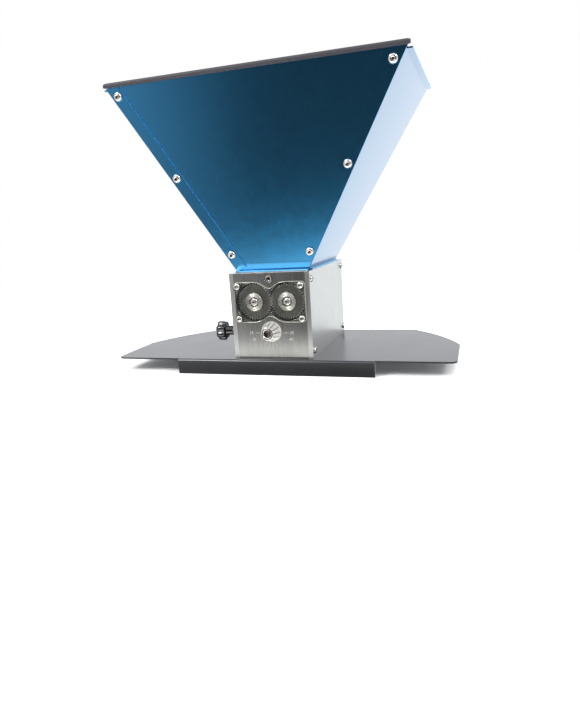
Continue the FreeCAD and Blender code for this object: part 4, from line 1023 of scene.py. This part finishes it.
def studio():
    """Two small keys, a large soft overhead light, a pale floor and the cards."""
    SCENE.view_settings.view_transform = "Standard"
    studio_world()
    softbox("key_left", (-0.45, -0.62, 0.55), 1.6, 0.42, 15)
    softbox("key_right", (0.75, -0.5, 0.62), 1.6, 0.26, 8)
    softbox("overhead", (0.1, 0.1, 1), 2.2, 2.2, 46, seen_in_metal=False)
    material, tree = material_named("pale_studio_floor")
    # The sheet's tone drifts over some 400 mm.
    tone = grain(tree, 400)
    # The sheet runs out into the white sweep: it fades from 0.7 m to 1.6 m out.
    place = add(tree, "ShaderNodeTexCoord").outputs["Object"]
    out = add(tree, "ShaderNodeVectorMath", {0: place}, operation="LENGTH").outputs["Value"]
    fade = add(tree, "ShaderNodeMapRange", {"Value": out, "From Min": 0.7, "From Max": 1.6,
                                            "To Min": 1.0, "To Max": 0.0},
               interpolation_type="SMOOTHSTEP").outputs[0]
    shaded(tree, Base_Color=blended(tree, tone, "#f7f7f6", "#fafafa"), Roughness=0.9, Alpha=fade)
    shell = bmesh.new()
    bmesh.ops.create_circle(shell, cap_ends=True, segments=96, radius=1.7)
    floor = linked("studio_floor", to_mesh(shell, "studio_floor"))
    floor.data.materials.append(material)
    floor.visible_glossy = False
    # A card on the table lights the foot of the front block.
    plate_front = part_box("base_plate")[0].y
    lit_card("table_card", -0.42, 0.3, plate_front - 0.19, plate_front - 0.055, 0.0012, 1.7, 0.105)
    # A strip laid on the block's front edge lights the foot of the hopper.
    low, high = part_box("front_block")
    lit_card("hopper_card", low.x, high.x, low.y, low.y + 0.013, high.z + 0.0014, 2.4, 0.001)


def lit_card(name, left, right, far, near, height, strength, fade):
    """A lit card in front of the mill, clear at its far edge: only its reflection in metal shows."""
    shell = bmesh.new()
    shell.faces.new([shell.verts.new((x, y, height))
                     for x, y in ((left, far), (right, far), (right, near), (left, near))])
    card = linked(name, to_mesh(shell, name))
    material, tree = material_named(name)
    place = add(tree, "ShaderNodeTexCoord").outputs["Object"]
    parts = add(tree, "ShaderNodeSeparateXYZ", {0: place})
    share = add(tree, "ShaderNodeMapRange", {"Value": parts.outputs[1], "From Min": far,
                                             "From Max": far + fade}, interpolation_type="SMOOTHSTEP")
    glow = add(tree, "ShaderNodeEmission", {"Strength": strength})
    clear = add(tree, "ShaderNodeBsdfTransparent")
    both = add(tree, "ShaderNodeMixShader",
               {0: share.outputs[0], 1: clear.outputs[0], 2: glow.outputs[0]})
    add(tree, "ShaderNodeOutputMaterial", {"Surface": both.outputs[0]})
    card.data.materials.append(material)
    card.visible_camera = False
    card.visible_diffuse = False
    card.visible_shadow = False


def camera():
    """Stands a little right of the mill and above its body, looking slightly down."""
    data = bpy.data.cameras.new("camera")
    data.sensor_width = 36
    data.lens = 29.22
    data.clip_start, data.clip_end = 0.02, 60
    made = linked("camera", data)
    right = Vector((0.9522, 0.2994, -0.0615))
    down = Vector((0.015, -0.2469, -0.9689))
    ahead = Vector((-0.3052, 0.9216, -0.2396))
    turn = Matrix((right, -down, -ahead)).transposed().to_4x4()
    made.matrix_world = Matrix.Translation((0.224865, -0.701533, 0.1745)) @ turn
    SCENE.camera = made


# ------------------------------------------------------------------- the mill

camera()
studio()
hopper_panels()
for rim_side in ("front", "rear"):
    rubber_trim(rim_side)
body_shells()
gear_window()
gears_and_hubs()
rollers()
fasteners()
star_knob()
dial_knob()
dial_marks()
dressed(GROUND_STEEL, "drive_shaft", "idler_shaft")
for bearing in ("drive", "idler"):
    dressed(BEARING_STEEL, f"{bearing}_bearing_outer_rings", f"{bearing}_bearing_inner_rings",
            f"{bearing}_bearing_balls")
dressed(MILLED, "bearing_carrier_front", "bearing_carrier_rear")
dressed(STAINLESS, "lock_screw", "hopper_nuts", "hopper_clamp_nuts")
dressed(BLACK_OXIDE, "dial_set_screw", "gap_cams", "base_screws")
